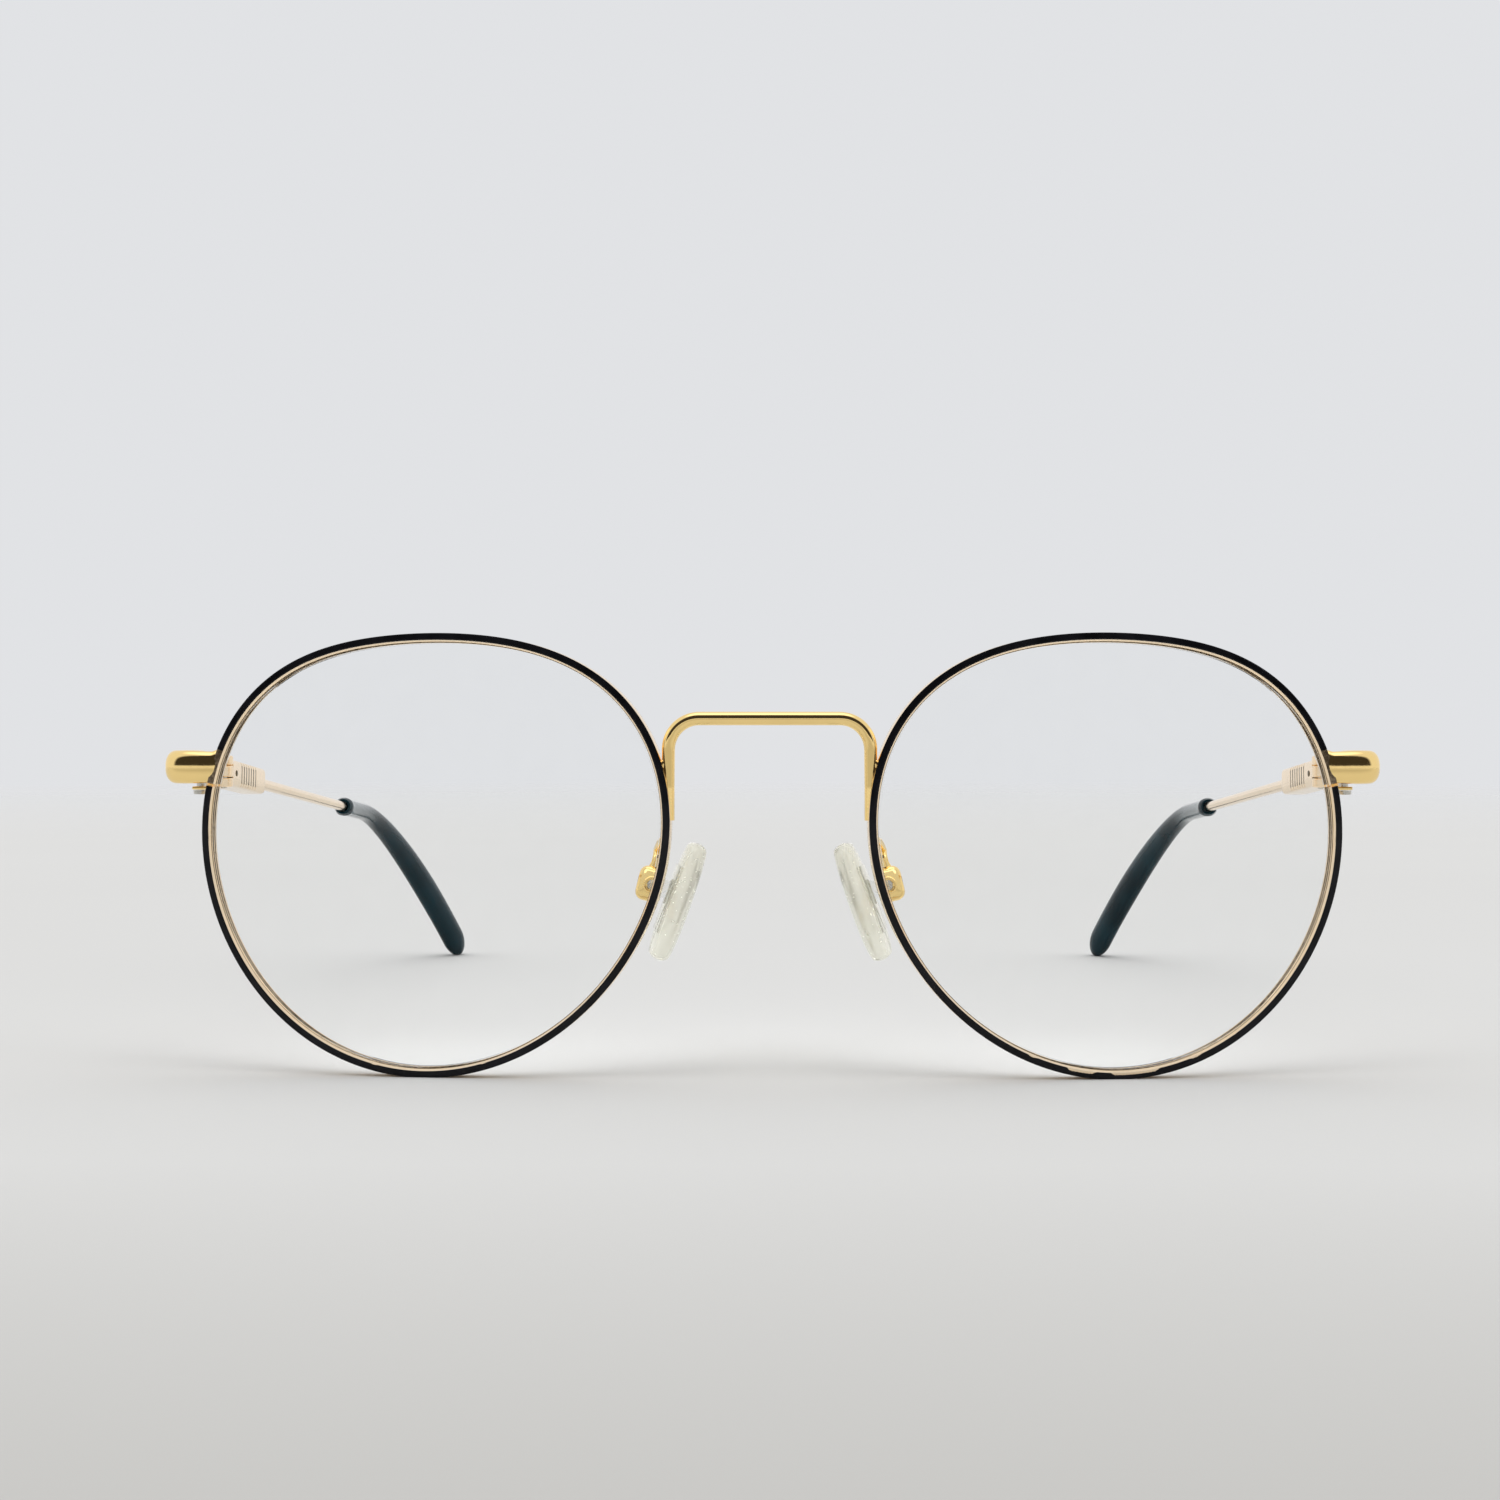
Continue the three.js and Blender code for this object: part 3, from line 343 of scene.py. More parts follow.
def curve_through(points, count):
    """A Catmull-Rom curve through the points, spaced evenly by length."""
    points = np.asarray(points, dtype=float)
    padded = np.vstack([2 * points[0] - points[1], points, 2 * points[-1] - points[-2]])
    t = np.linspace(0, 1, 24, endpoint=False)[:, None]
    a, b, c, d = padded[:-3, None], padded[1:-2, None], padded[2:-1, None], padded[3:, None]
    curve = 0.5 * (2 * b + (c - a) * t + (2 * a - 5 * b + 4 * c - d) * t**2 + (3 * b - a - 3 * c + d) * t**3)
    return evenly(np.vstack([curve.reshape(-1, 3), points[-1:]]), count)


def turned(profile, count=40, loop=False):
    """Turns a profile of (radius, height) points about Z."""
    turn = np.linspace(0, 2 * pi, count, endpoint=False)
    profile = np.asarray(profile, dtype=float)
    ring = np.stack([np.cos(turn), np.sin(turn), np.zeros(count)], axis=-1)
    return skin(profile[:, 0, None, None] * ring + profile[:, 1, None, None] * np.array([0, 0, 1.0]), loop)


def washer(radius, hole, low, high, edge):
    """A flat ring about Z with bevelled outer edges."""
    rim = [(radius - edge, low), (radius, low + edge), (radius, high - edge), (radius - edge, high)]
    return turned([(hole, low), *rim, (hole, high)], loop=True)


def block(low, high, edge):
    """A block whose edges are rounded by `edge`: in plan each corner is a quarter circle, and towards the top
    and bottom the plan draws in along a quarter circle."""
    low, high = np.array(low), np.array(high)
    middle, half = (low + high) / 2, (high - low) / 2
    turn = (np.arange(32) + 0.5) / 32 * 2 * pi
    outward = np.stack([np.cos(turn), np.sin(turn)], axis=-1)
    quarter = np.linspace(0, pi / 2, 5)
    round_in = np.concatenate([np.sin(quarter), np.sin(quarter[::-1])]) * edge
    rise = half[2] - edge + edge * np.cos(quarter)
    heights = np.concatenate([-rise, rise[::-1]])
    plan = np.sign(outward) * (half[:2] - edge) + outward * round_in[:, None, None]
    rows = np.concatenate([plan, np.broadcast_to(heights[:, None, None], (*plan.shape[:2], 1))], axis=-1)
    return skin(rows + middle)


def slotted_head(radius, low, high, slot, depth):
    """A screw head about Z with a driver slot along X: sections in X and Z are laid side by side along Y,
    each as wide as the circle is there, and those in the slot are lower."""
    half, wall, bevel = slot / 2, 0.01 * MM, 0.12 * MM
    sweep = np.sin(np.linspace(-1, 1, 31) * pi / 2) * radius * 0.999
    edges = np.array([-half - wall, -half, half, half + wall])
    y = np.sort(np.concatenate([sweep[np.abs(sweep) > half + 2 * wall], edges]))
    wide = np.sqrt(radius**2 - y**2)
    top = np.where(np.abs(y) <= half, high - depth, high)
    edge = np.minimum(bevel, wide / 2)
    x = np.stack([-wide, -wide, -wide + edge, wide - edge, wide, wide], axis=1)
    z = np.stack([np.full_like(y, low), top - edge, top, top, top - edge, np.full_like(y, low)], axis=1)
    return skin(np.stack([x, np.broadcast_to(y[:, None], x.shape), z], axis=-1))


def screw(radius, height, slot, depth, shank, foot, neck, count=40):
    """A slotted head that stands on Z = 0, and a shank from foot to neck."""
    return joined(slotted_head(radius, 0, height, slot, depth), turned([(shank, foot), (shank, neck)], count))


def moved(shape, *steps):
    """The shape after a chain of matrices, the last of them first."""
    matrix = Matrix.Identity(4)
    for step in steps:
        matrix = matrix @ step
    matrix = np.array(matrix)
    points, faces = shape
    return points @ matrix[:3, :3].T + matrix[:3, 3], faces


def turn(axis, amount):
    return Matrix.Rotation(amount, 4, axis)


def at(place):
    return Matrix.Translation(Vector(place))


# ---------- The rim's outline ----------


def outline(count):
    """The lens shape: a circle bent by second harmonics, scaled to the rim's width and height and spaced
    evenly. Gives the line and its outward directions."""
    rim = sizes("rim")
    t = np.linspace(0, 2 * pi, 2001)
    u = np.cos(t) - 0.122 * np.sin(2 * t) - 0.03 * np.cos(2 * t)
    v = 0.96 * np.sin(t) + 0.179 * np.cos(2 * t) - 0.0114 * np.sin(2 * t)
    u = (u - (u.max() + u.min()) / 2) / (u.max() - u.min()) * rim.width
    v = (v - (v.max() + v.min()) / 2) / (v.max() - v.min()) * rim.height
    line = evenly(np.stack([u, v], axis=1), count + 1)[:-1]
    along = unit(np.roll(line, -1, axis=0) - np.roll(line, 1, axis=0))
    return line, np.stack([along[:, 1], -along[:, 0]], axis=1)


def lens_middle():
    """The apex of the left lens's middle surface, placed so that the rims end where the frame's rims do."""
    rim = sizes("rim")
    high = low_high("eyewire_left")[1]
    half = rim.width / 2
    sag = rim.base - (rim.base**2 - half**2) ** 0.5
    rear = half * sin(rim.wrap) + (sag + rim.depth / 2) * cos(rim.wrap)
    return np.array([(rim.nose_gap + rim.width) / 2, high[1] - rear, high[2] - rim.outside - rim.height / 2])


def on_lens(flat, back):
    """Sets points (u, v) of the lens plane on the base sphere of radius R and moves them back, so that
    sag = R - sqrt(R^2 - u^2 - v^2) + back, then turns all by the wrap about Z."""
    rim = sizes("rim")
    u, v = flat[..., 0], flat[..., 1]
    sag = rim.base - np.sqrt(rim.base**2 - u**2 - v**2) + back
    x = u * cos(rim.wrap) - sag * sin(rim.wrap)
    y = u * sin(rim.wrap) + sag * cos(rim.wrap)
    return np.stack([x, y, v], axis=-1) + lens_middle()


def rim_at(level, side):
    """The rim's centre line at one height, on its temple side (1) or its nose side (-1)."""
    line = outline(1440)[0]
    line = line[line[:, 0] * side > 0]
    best = line[np.argmin(np.abs(line[:, 1] + lens_middle()[2] - level))]
    return on_lens(best, 0.0)


def nose_edge():
    """The rim's outer edge nearest the nose."""
    line, outward = outline(720)
    return float(on_lens(line + outward * sizes("rim").outside, 0.0)[:, 0].min())


def rim_section():
    """The rim's section as (outwards, back). The outside is straight, the front is as wide as the enamel, and
    the inside slopes from there to the V groove and is straight behind it."""
    rim = sizes("rim")
    half = rim.depth / 2
    front = rim.outside - rim.enamel_width
    lip = rim.groove_mouth / 2
    edge = 0.14 * MM
    quarter = np.linspace(0, pi / 2, 5)
    rear = edge * np.stack([np.cos(quarter), np.sin(quarter)], axis=1) + [rim.outside - edge, half - edge]
    shoulder = np.array([[rim.outside - 0.03 * MM, -half], [rim.outside, -half + 0.06 * MM]])
    inside = [
        [-rim.inside + edge, half],
        [-rim.inside + edge * 0.3, half - edge * 0.3],
        [-rim.inside, half - edge],
        [-rim.inside, lip + 0.06 * MM],
        [-rim.inside + 0.04 * MM, lip],
        [rim.groove_depth - rim.inside, 0],
        [-rim.inside + 0.04 * MM, -lip],
        [-rim.inside + 0.1 * MM, -lip - 0.06 * MM],
        [front - 0.12 * MM, -lip - 0.16 * MM],
        [front - 0.02 * MM, -half + 0.1 * MM],
        [front, -half],
    ]
    return np.vstack([shoulder, rear, np.array(inside)])


def split_level():
    """The middle of the rim's split, just under the end piece."""
    return low_high("lock_block_left")[1][2] + sizes("rim").slot / 2


def open_ring(section, count, start, end):
    """Carries sections of (outwards, back) points round the outline from the split, over the top and back to
    it. `start` and `end` are distances from the middle of the split. The section is one for all rows, or a
    function of the rows' places in the lens plane that gives one for each."""
    line, outward = outline(count)
    level = split_level() - lens_middle()[2]
    temple_side = np.where(line[:, 0] > 0, np.abs(line[:, 1] - level), np.inf)
    first = int(np.argmin(temple_side))
    line, outward = np.roll(line, -first, axis=0), np.roll(outward, -first, axis=0)
    line, outward = np.vstack([line, line[:1]]), np.vstack([outward, outward[:1]])
    run = np.concatenate([[0], np.cumsum(np.linalg.norm(np.diff(line, axis=0), axis=1))])
    wanted = np.linspace(start, run[-1] - end, count)
    line = np.stack([np.interp(wanted, run, line[:, k]) for k in range(2)], axis=1)
    outward = unit(np.stack([np.interp(wanted, run, outward[:, k]) for k in range(2)], axis=1))
    if callable(section):
        section = section(line)
    section = np.broadcast_to(section, (count, *section.shape[-2:]))
    flat = line[:, None] + outward[:, None] * section[..., :1]
    return skin(on_lens(flat, section[..., 1]))


# ---------- The temple's line ----------


def temple_line():
    """The temple's centre line from inside the spring box to the tip's end: straight along the slope, then a
    cubic Bezier curve down to the ground and in behind the ear. Evenly spaced, with its length."""
    temple = sizes("temple")
    x = temple.box_thickness / 2 - temple.box_inside
    slope = np.array([0, cos(temple.slope), -sin(temple.slope)])
    start = np.array([x, 0, 0]) + slope * (temple.box_start + temple.box_length - WIRE_IN_BOX)
    bend = np.array([x, 0, 0]) + slope * temple.bend_start
    end = np.array([x - temple.tip_inward, temple.tip_back, 0.25 * MM - HINGE[2]])
    near, far = bend + slope * 17 * MM, end + mm(4.2, -10, 12.5)
    t = np.linspace(0, 1, 200)[:, None]
    curve = (1 - t) ** 3 * bend + 3 * (1 - t) ** 2 * t * near + 3 * (1 - t) * t**2 * far + t**3 * end
    points = evenly(np.vstack([start, curve]), 1200) + HINGE
    return points, float(np.linalg.norm(np.diff(points, axis=0), axis=1).sum())


def stretch(start, end, shares):
    """Part of the temple's line, between two distances along it."""
    points, total = temple_line()
    wanted = np.clip((start + (end - start) * shares) / total, 0, 1)
    own = np.linspace(0, 1, len(points))
    return np.stack([np.interp(wanted, own, points[:, k]) for k in range(3)], axis=1)


def tip_from():
    """Distance along the temple's line to the mouth of the tip."""
    temple = sizes("temple")
    return temple.tip_start - temple.box_start - temple.box_length + WIRE_IN_BOX


def step(value, low, high):
    """0 below low, 1 above high and smooth between."""
    t = np.clip((value - low) / (high - low), 0, 1)
    return t * t * (3 - 2 * t)


# ---------- Materials ----------


def shader(name, **settings):
    """A material with a Principled shader whose plain values are set on its sockets."""
    material = bpy.data.materials.new(name)
    material.use_nodes = True
    target = material.node_tree.nodes["Principled BSDF"]
    for socket, value in settings.items():
        target.inputs[socket.replace("_", " ")].default_value = value
    return material.node_tree, target


def group(name, inputs, outputs):
    """An empty node group with named inputs and outputs."""
    tree = bpy.data.node_groups.new(name, "ShaderNodeTree")
    for label, kind, value in inputs:
        tree.interface.new_socket(name=label, in_out="INPUT", socket_type=kind).default_value = value
    for label, kind in outputs:
        tree.interface.new_socket(name=label, in_out="OUTPUT", socket_type=kind)
    return tree, tree.nodes.new("NodeGroupInput"), tree.nodes.new("NodeGroupOutput")


def node(tree, kind, links=(), **values):
    """Adds a node. Each link is (source, input), where the source is a socket or a plain value, and the other
    values go by name to an input or to a setting of the node."""
    made = tree.nodes.new(kind)
    for key, value in values.items():
        label = key.replace("_", " ")
        if label in made.inputs:
            made.inputs[label].default_value = value
        else:
            setattr(made, key, value)
    for source, target in links:
        if isinstance(source, bpy.types.NodeSocket):
            tree.links.new(source, made.inputs[target])
        else:
            made.inputs[target].default_value = source
    return made


def spread(tree, value, low, high, to_low=0.0, to_high=1.0):
    """A value between low and high, spread from to_low to to_high. Each bound is a number or a socket."""
    bounds = [(low, "From Min"), (high, "From Max"), (to_low, "To Min"), (to_high, "To Max")]
    return node(tree, "ShaderNodeMapRange", [(value, "Value"), *bounds]).outputs["Result"]


def mixed(tree, factor, first, second):
    """A colour between two, each a socket or (r, g, b)."""
    links = [(factor, 0)]
    for value, place in ((first, 6), (second, 7)):
        links.append((value if isinstance(value, bpy.types.NodeSocket) else (*value, 1), place))
    return node(tree, "ShaderNodeMix", links, data_type="RGBA").outputs[2]


def worked_out(tree, operation, first, second, **settings):
    """One step of arithmetic on two values."""
    return node(tree, "ShaderNodeMath", [(first, 0), (second, 1)], operation=operation, **settings).outputs[0]


def noise(tree, place, scale, detail):
    """Soft cloudy noise at a place. The scale is a number or a socket."""
    links = [(place, "Vector"), (scale, "Scale")]
    return node(tree, "ShaderNodeTexNoise", links, Detail=detail).outputs["Fac"]


def see_through(tree, target, factor, tint=(1, 1, 1)):
    """Lets a share of the light straight through the material."""
    clear = node(tree, "ShaderNodeBsdfTransparent", Color=(*tint, 1))
    both = [(factor, 0), (target.outputs["BSDF"], 1), (clear.outputs["BSDF"], 2)]
    shown = node(tree, "ShaderNodeMixShader", both).outputs["Shader"]
    tree.links.new(shown, tree.nodes["Material Output"].inputs["Surface"])


def polish_group():
    """A polished surface: soft clouds between two colours, haze that comes and goes, and fine rubbing marks.
    Scales are per metre."""
    inputs = (
        ("Colour", "NodeSocketColor", (1, 1, 1, 1)),
        ("Cloud Colour", "NodeSocketColor", (1, 1, 1, 1)),
        ("Cloud Scale", "NodeSocketFloat", 200.0),
        ("Mark Scale", "NodeSocketFloat", 6000.0),
        ("Smooth", "NodeSocketFloat", 0.08),
        ("Hazy", "NodeSocketFloat", 0.2),
        ("Relief", "NodeSocketFloat", 0.1),
    )
    outputs = (
        ("Colour", "NodeSocketColor"),
        ("Roughness", "NodeSocketFloat"),
        ("Normal", "NodeSocketVector"),
    )
    tree, start, end = group("Polish", inputs, outputs)
    given = start.outputs
    place = node(tree, "ShaderNodeTexCoord").outputs["Object"]
    clouds = noise(tree, place, given["Cloud Scale"], 3.0)
    marks = noise(tree, place, given["Mark Scale"], 5.0)
    cloud = spread(tree, clouds, 0.35, 0.65)
    haze = spread(tree, marks, 0.4, 0.7, given["Smooth"], given["Hazy"])
    relief = [(marks, "Height"), (given["Relief"], "Strength")]
    bump = node(tree, "ShaderNodeBump", relief, Distance=0.02 * MM)
    tree.links.new(mixed(tree, cloud, given["Colour"], given["Cloud Colour"]), end.inputs["Colour"])
    tree.links.new(haze, end.inputs["Roughness"])
    tree.links.new(bump.outputs["Normal"], end.inputs["Normal"])


def polish(tree, target, first, second, cloud_scale, mark_scale, smooth, hazy, relief):
    """Puts the polish group in a material and feeds the shader from it."""
    values = (
        ((*first, 1), "Colour"),
        ((*second, 1), "Cloud Colour"),
        (cloud_scale, "Cloud Scale"),
        (mark_scale, "Mark Scale"),
        (smooth, "Smooth"),
        (hazy, "Hazy"),
        (relief, "Relief"),
    )
    made = node(tree, "ShaderNodeGroup", values, node_tree=bpy.data.node_groups["Polish"])
    for output, socket in (("Colour", "Base Color"), ("Roughness", "Roughness"), ("Normal", "Normal")):
        tree.links.new(made.outputs[output], target.inputs[socket])
    return made


def scaled(colour, amount):
    return [part * amount for part in colour]


def metal_materials():
    """The values after each name are those that the polish takes."""
    look = sizes("finish")
    metals = (
        ("Gold plating", look.gold, scaled(look.gold, 1.04), 180.0, 5000.0, 0.05, 0.14, 0.04),
        # Pale gold plating: the gold painted paler, a painted reflection of the pale surroundings.
        ("Pale gold plating, painted reflection", look.pale_gold_painted_reflection, scaled(look.pale_gold_painted_reflection, 0.95), 150.0, 2500.0, 0.1, 0.2, 0.03),
        # Dark metal for the box rivets; on the bars in the rib grooves this colour is painted shade.
        ("Dark metal and painted groove shade", (0.16, 0.115, 0.05), (0.08, 0.06, 0.03), 700.0, 7000.0, 0.3, 0.5, 0.1),
        ("Bright steel", look.steel, scaled(look.steel, 0.75), 900.0, 9000.0, 0.15, 0.4, 0.15),
    )
    for name, *values in metals:
        polish(*shader(name, Metallic=1.0), *values)


def enamel_material():
    look = sizes("finish")
    made = shader("Black enamel", Specular_IOR_Level=0.15)
    polish(*made, look.enamel, scaled(look.enamel, 2.5), 300.0, 4000.0, 0.1, 0.25, 0.04)


def acetate_material():
    """Dark acetate, paler near the mouth of the tip where it lies thin over the wire."""
    look = sizes("finish")
    tree, target = shader("Dark acetate", Coat_Weight=0.06, Coat_Roughness=0.02, Specular_IOR_Level=0.06)
    made = polish(tree, target, look.acetate, scaled(look.acetate, 2), 120.0, 3000.0, 0.06, 0.14, 0.03)
    place = node(tree, "ShaderNodeTexCoord").outputs["Object"]
    back = node(tree, "ShaderNodeSeparateXYZ", [(place, "Vector")]).outputs["Y"]
    mouth = low_high("temple_tip_left")[0][1]
    rising = spread(tree, back, mouth + 1.6 * MM, mouth + 2.6 * MM)
    fading = spread(tree, back, mouth + 3 * MM, mouth + 22 * MM, 1.0, 0.0)
    pale = worked_out(tree, "MULTIPLY", rising, fading)
    colour = mixed(tree, pale, made.outputs["Colour"], tuple(look.acetate_light))
    tree.links.new(colour, target.inputs["Base Color"])


def clear_material(name, tint, ior, through, smooth, hazy, coat, relief):
    """A clear material that lets lamp light through to what lies behind it."""
    tree, target = shader(name, IOR=ior, Transmission_Weight=through, Coat_Weight=coat, Coat_Roughness=0.02)
    polish(tree, target, tint, scaled(tint, 0.99), 400.0, 2500.0, smooth, hazy, relief)
    path = node(tree, "ShaderNodeLightPath")
    see_through(tree, target, path.outputs["Is Shadow Ray"], scaled(tint, 0.97))


def floor_material():
    """Pale paper with painted shade, a little darker towards -Y, the camera's side, that fades out at the
    floor's edge.
    """
    look = sizes("finish")
    reach = sizes("stage").floor
    tree, target = shader("Pale paper", Roughness=0.9, Specular_IOR_Level=0.0)
    place = node(tree, "ShaderNodeTexCoord").outputs["Object"]
    away = node(tree, "ShaderNodeVectorMath", [(place, 0)], operation="LENGTH").outputs["Value"]
    grain = spread(tree, noise(tree, place, 4.0, 2.0), 0.3, 0.7, 0.0, 0.08)
    forward = node(tree, "ShaderNodeSeparateXYZ", [(place, "Vector")]).outputs["Y"]
    # Painted shade: towards -Y the paper is mixed towards the darker tone below, together with the random
    # grain.
    near = spread(tree, forward, -0.12, -0.22)
    shade = worked_out(tree, "ADD", near, grain, use_clamp=True)
    dark = worked_out(tree, "MULTIPLY", shade, spread(tree, away, 0.3, 0.7, 1.0, 0.0))
    tone = mixed(tree, dark, tuple(look.floor), (0.54, 0.535, 0.515))
    tree.links.new(tone, target.inputs["Base Color"])
    see_through(tree, target, spread(tree, away, reach * 0.35, reach * 0.95))


# ---------- Operators: one for each group of like pieces ----------


class GLASSES_OT_finishes(bpy.types.Operator):
    """Makes the finishes that the pieces share"""

    bl_idname = "glasses.finishes"
    bl_label = "Finishes"

    def execute(self, context):
        look = sizes("finish")
        polish_group()
        metal_materials()
        enamel_material()
        acetate_material()
        clear_material("Clear lens", (0.985, 0.99, 0.99), 1.02, 1.0, 0.0, 0.004, 0.08, 0.0)
        clear_material("Clear silicone", tuple(look.silicone), 1.22, 0.72, 0.08, 0.3, 0.3, 0.5)
        clear_material("Clear insert", (0.98, 0.98, 0.95), 1.4, 0.9, 0.02, 0.08, 0.2, 0.1)
        return {"FINISHED"}


# Where the enamel's inner edge has chipped away along the foot of each rim: from and to, in millimetres along
# X, and the share of the enamel's width that is lost.
CHIPS = {
    "left": ((28.2, 29.6, 0.2), (32.6, 36.2, 0.42), (37.6, 43.4, 0.4), (46.5, 48.2, 0.2), (51.4, 52.2, 0.15)),
    "right": ((-44.6, -43.4, 0.15), (-32.0, -31.0, 0.15)),
}


class GLASSES_OT_rims(bpy.types.Operator):
    """Makes the split gold rims and the black enamel on their front faces"""

    bl_idname = "glasses.rims"
    bl_label = "Rims and enamel"

    def execute(self, context):
        rim = sizes("rim")
        wire = open_ring(rim_section(), 500, rim.slot / 2, rim.slot / 2)
        both_sides("rim", wire, "Pale gold plating, painted reflection", "front", ["eyewire"])
        above_bar = low_high("end_piece_left")[1][2] - split_level() + 0.15 * MM
        below_split = 0.16 * MM
        for side, sign in SIDES:
            strip = open_ring(lambda line: self.enamel(line, sign, CHIPS[side]), 1000, above_bar, below_split)
            piece("enamel_" + side, mirrored(strip, sign), "Black enamel", "front")
        return {"FINISHED"}

    def enamel(self, line, sign, chips):
        """Sections of a thin strip with a full crown above the rim's front, narrower where it is chipped."""
        rim = sizes("rim")
        face = rim.depth / 2
        outer, inner = rim.outside, rim.outside - rim.enamel_width
        x = (line[:, 0] + lens_middle()[0]) / MM * sign
        lost = np.zeros(len(line))
        for first, last, share in chips:
            inside = step(x, first, first + 0.5) * (1 - step(x, last - 0.8, last)) * (line[:, 1] < 0)
            lost = np.maximum(lost, inside * share * (0.85 + 0.15 * np.sin(x * 17)))
        inner = inner + lost * rim.enamel_width
        crown = np.linspace(0, pi, 13)
        out = (outer + inner[:, None]) / 2 + (outer - inner[:, None]) / 2 * np.cos(crown)
        rise = -face - rim.enamel_rise * np.sin(crown) ** 0.6
        inset, sunk = 0.02 * MM, 0.05 * MM
        under = np.stack([inner + inset, np.full(len(line), outer - inset)], axis=1)
        out = np.concatenate([out, under], axis=1)
        back = np.concatenate([rise, np.full(2, -face + sunk)])
        return np.stack([out, np.broadcast_to(back, out.shape)], axis=-1)


class GLASSES_OT_lenses(bpy.types.Operator):
    """Makes the two clear lenses with their bevelled edges"""

    bl_idname = "glasses.lenses"
    bl_label = "Lenses"

    def execute(self, context):
        rim = sizes("rim")
        fit = 0.08 * MM
        edge = -rim.inside - fit
        apex = rim.groove_depth - rim.inside - 2 * fit
        bevel = rim.groove_mouth / 2 - fit
        face = rim.lens_thickness / 2
        safe = 0.04 * MM
        line, outward = outline(240)
        inner = line + outward * edge
        shares = np.sqrt(np.linspace(0.002, 1, 14))[:-1]
        rows = [on_lens(inner * share, -face) for share in shares]
        half = [(-safe, face), (0, face - safe), (0, bevel)]
        steps = [(out, -back) for out, back in half] + [(apex - edge, 0)] + half[::-1]
        rows += [on_lens(inner + outward * out, back) for out, back in steps]
        rows += [on_lens(inner * share, face) for share in shares[::-1]]
        both_sides("clear_lens", skin(np.array(rows)), "Clear lens", "front", ["lens"])
        return {"FINISHED"}


class GLASSES_OT_bridge(bpy.types.Operator):
    """Makes the arch over the nose, its two legs and the braze beads where they meet the rims"""

    bl_idname = "glasses.bridge"
    bl_label = "Bridge"

    def execute(self, context):
        size = sizes("bridge")
        low, high = low_high("bridge")
        half = size.bar / 2
        leg_x = nose_edge() - size.leg_wall + half
        bar_z = high[2] - half
        bend = np.linspace(pi, pi / 2, 24)
        corner = np.stack([np.cos(bend), np.sin(bend)], axis=1) * size.corner
        corner += [-leg_x + size.corner, bar_z - size.corner]
        left = np.vstack([[[-leg_x, low[2]]], corner])
        flat = evenly(np.vstack([left, left[::-1] * [-1, 1]]), 181)
        drop = np.clip((bar_z - size.corner * 0.6 - flat[:, 1]) / (size.corner * 1.6), 0, 1)
        bow = size.bow * np.cos(flat[:, 0] / leg_x * pi / 2)
        centre = rim_at(low[2], -1)[1] - bow + 0.25 * MM * drop
        path = np.stack([flat[:, 0], centre, flat[:, 1]], axis=1)
        section = rounded(size.depth / 2 * (1 - 0.2 * drop), half * (1 - 0.1 * drop), 0.95, 32)
        arch = skin(carried(path, section, np.array([0, 1.0, 0])))
        piece("nose_bridge", arch, "Gold plating", "front", ["bridge"])
        below, out, forward = mm(1.6, 0.12, 0.35)
        level = bar_z - size.corner - below
        rim = rim_at(level, -1)
        wide, tall = 0.42, 0.62
        swell = np.linspace(0, pi, 13)
        ball = turned(np.stack([wide * np.sin(swell) + 0.002, -tall * np.cos(swell)], axis=1) * MM, 24)
        place = (rim[0] - sizes("rim").outside - out, centre.max() - forward, level)
        bead = moved(ball, at(place), turn("Y", radians(-24)))
        both_sides("braze_bead", bead, "Gold plating", "front")
        return {"FINISHED"}


class GLASSES_OT_end_pieces(bpy.types.Operator):
    """Makes the end pieces, the lock blocks under them and the screws that close the rims"""

    bl_idname = "glasses.end_pieces"
    bl_label = "End pieces"

    def execute(self, context):
        size = sizes("end_piece")
        low, high = low_high("end_piece_left")
        level = (low[2] + high[2]) / 2 + 0.02 * MM
        rim = rim_at(level, 1)
        out = size.reach - size.thickness / 2
        rear = high[1] - rim[1]
        stops = mm(0.0, 0, 0), mm(1.9, 0, 0)
        ends = np.array([[out - 0.5 * MM, 0.8 * MM, 0], [out, 2.4 * MM, 0], [out - 0.5 * MM, 4 * MM, 0]])
        last = np.array([[out - 1 * MM, rear - 2.5 * MM, 0], [out - 1 * MM, rear, 0]])
        path = curve_through(np.vstack([stops, ends, last]), 90) + [rim[0], rim[1], level]
        along = np.linspace(0, 1, len(path))
        thick = sizes("rim").depth + (size.thickness - sizes("rim").depth) * np.clip(along * 3, 0, 1)
        high_share = 0.93 + 0.07 * step(along, 0.02, 0.3)
        flare = 0.1 * (1 - step(along, 0.0, 0.06))
        close = np.sqrt(np.clip(1 - ((along - 0.97) / 0.033).clip(0, 1) ** 2 * 0.5, 0, 1))
        section = rounded(size.height / 2 * (high_share + flare) * close, thick / 2 * close, 0.86, 40)
        bar = skin(carried(path, section, np.array([0, 0, 1.0])))
        both_sides("end_bar", bar, "Gold plating", "front", ["end_piece"])
        low, high = low_high("lock_block_left")
        lock = block(low + mm(0.1, 0.9, 0.35), high - mm(0.7, 0, 0), 0.1 * MM)
        both_sides("lock", lock, "Gold plating", "front", ["lock_block"])
        low, high = low_high("lock_screw_left")
        middle, radius = (low + high) / 2, (high[0] - low[0]) / 2
        height, slot, depth, shank, sunk = mm(0.45, 0.24, 0.2, 0.5, 0.8)
        closing = screw(radius, height, slot, depth, shank, low[2] - high[2] + 0.5 * MM, -0.05 * MM)
        closing = moved(closing, at((middle[0], middle[1], low[2] + sunk)), turn("X", pi))
        both_sides("closing_screw", closing, "Bright steel", "front", ["lock_screw"])
        return {"FINISHED"}


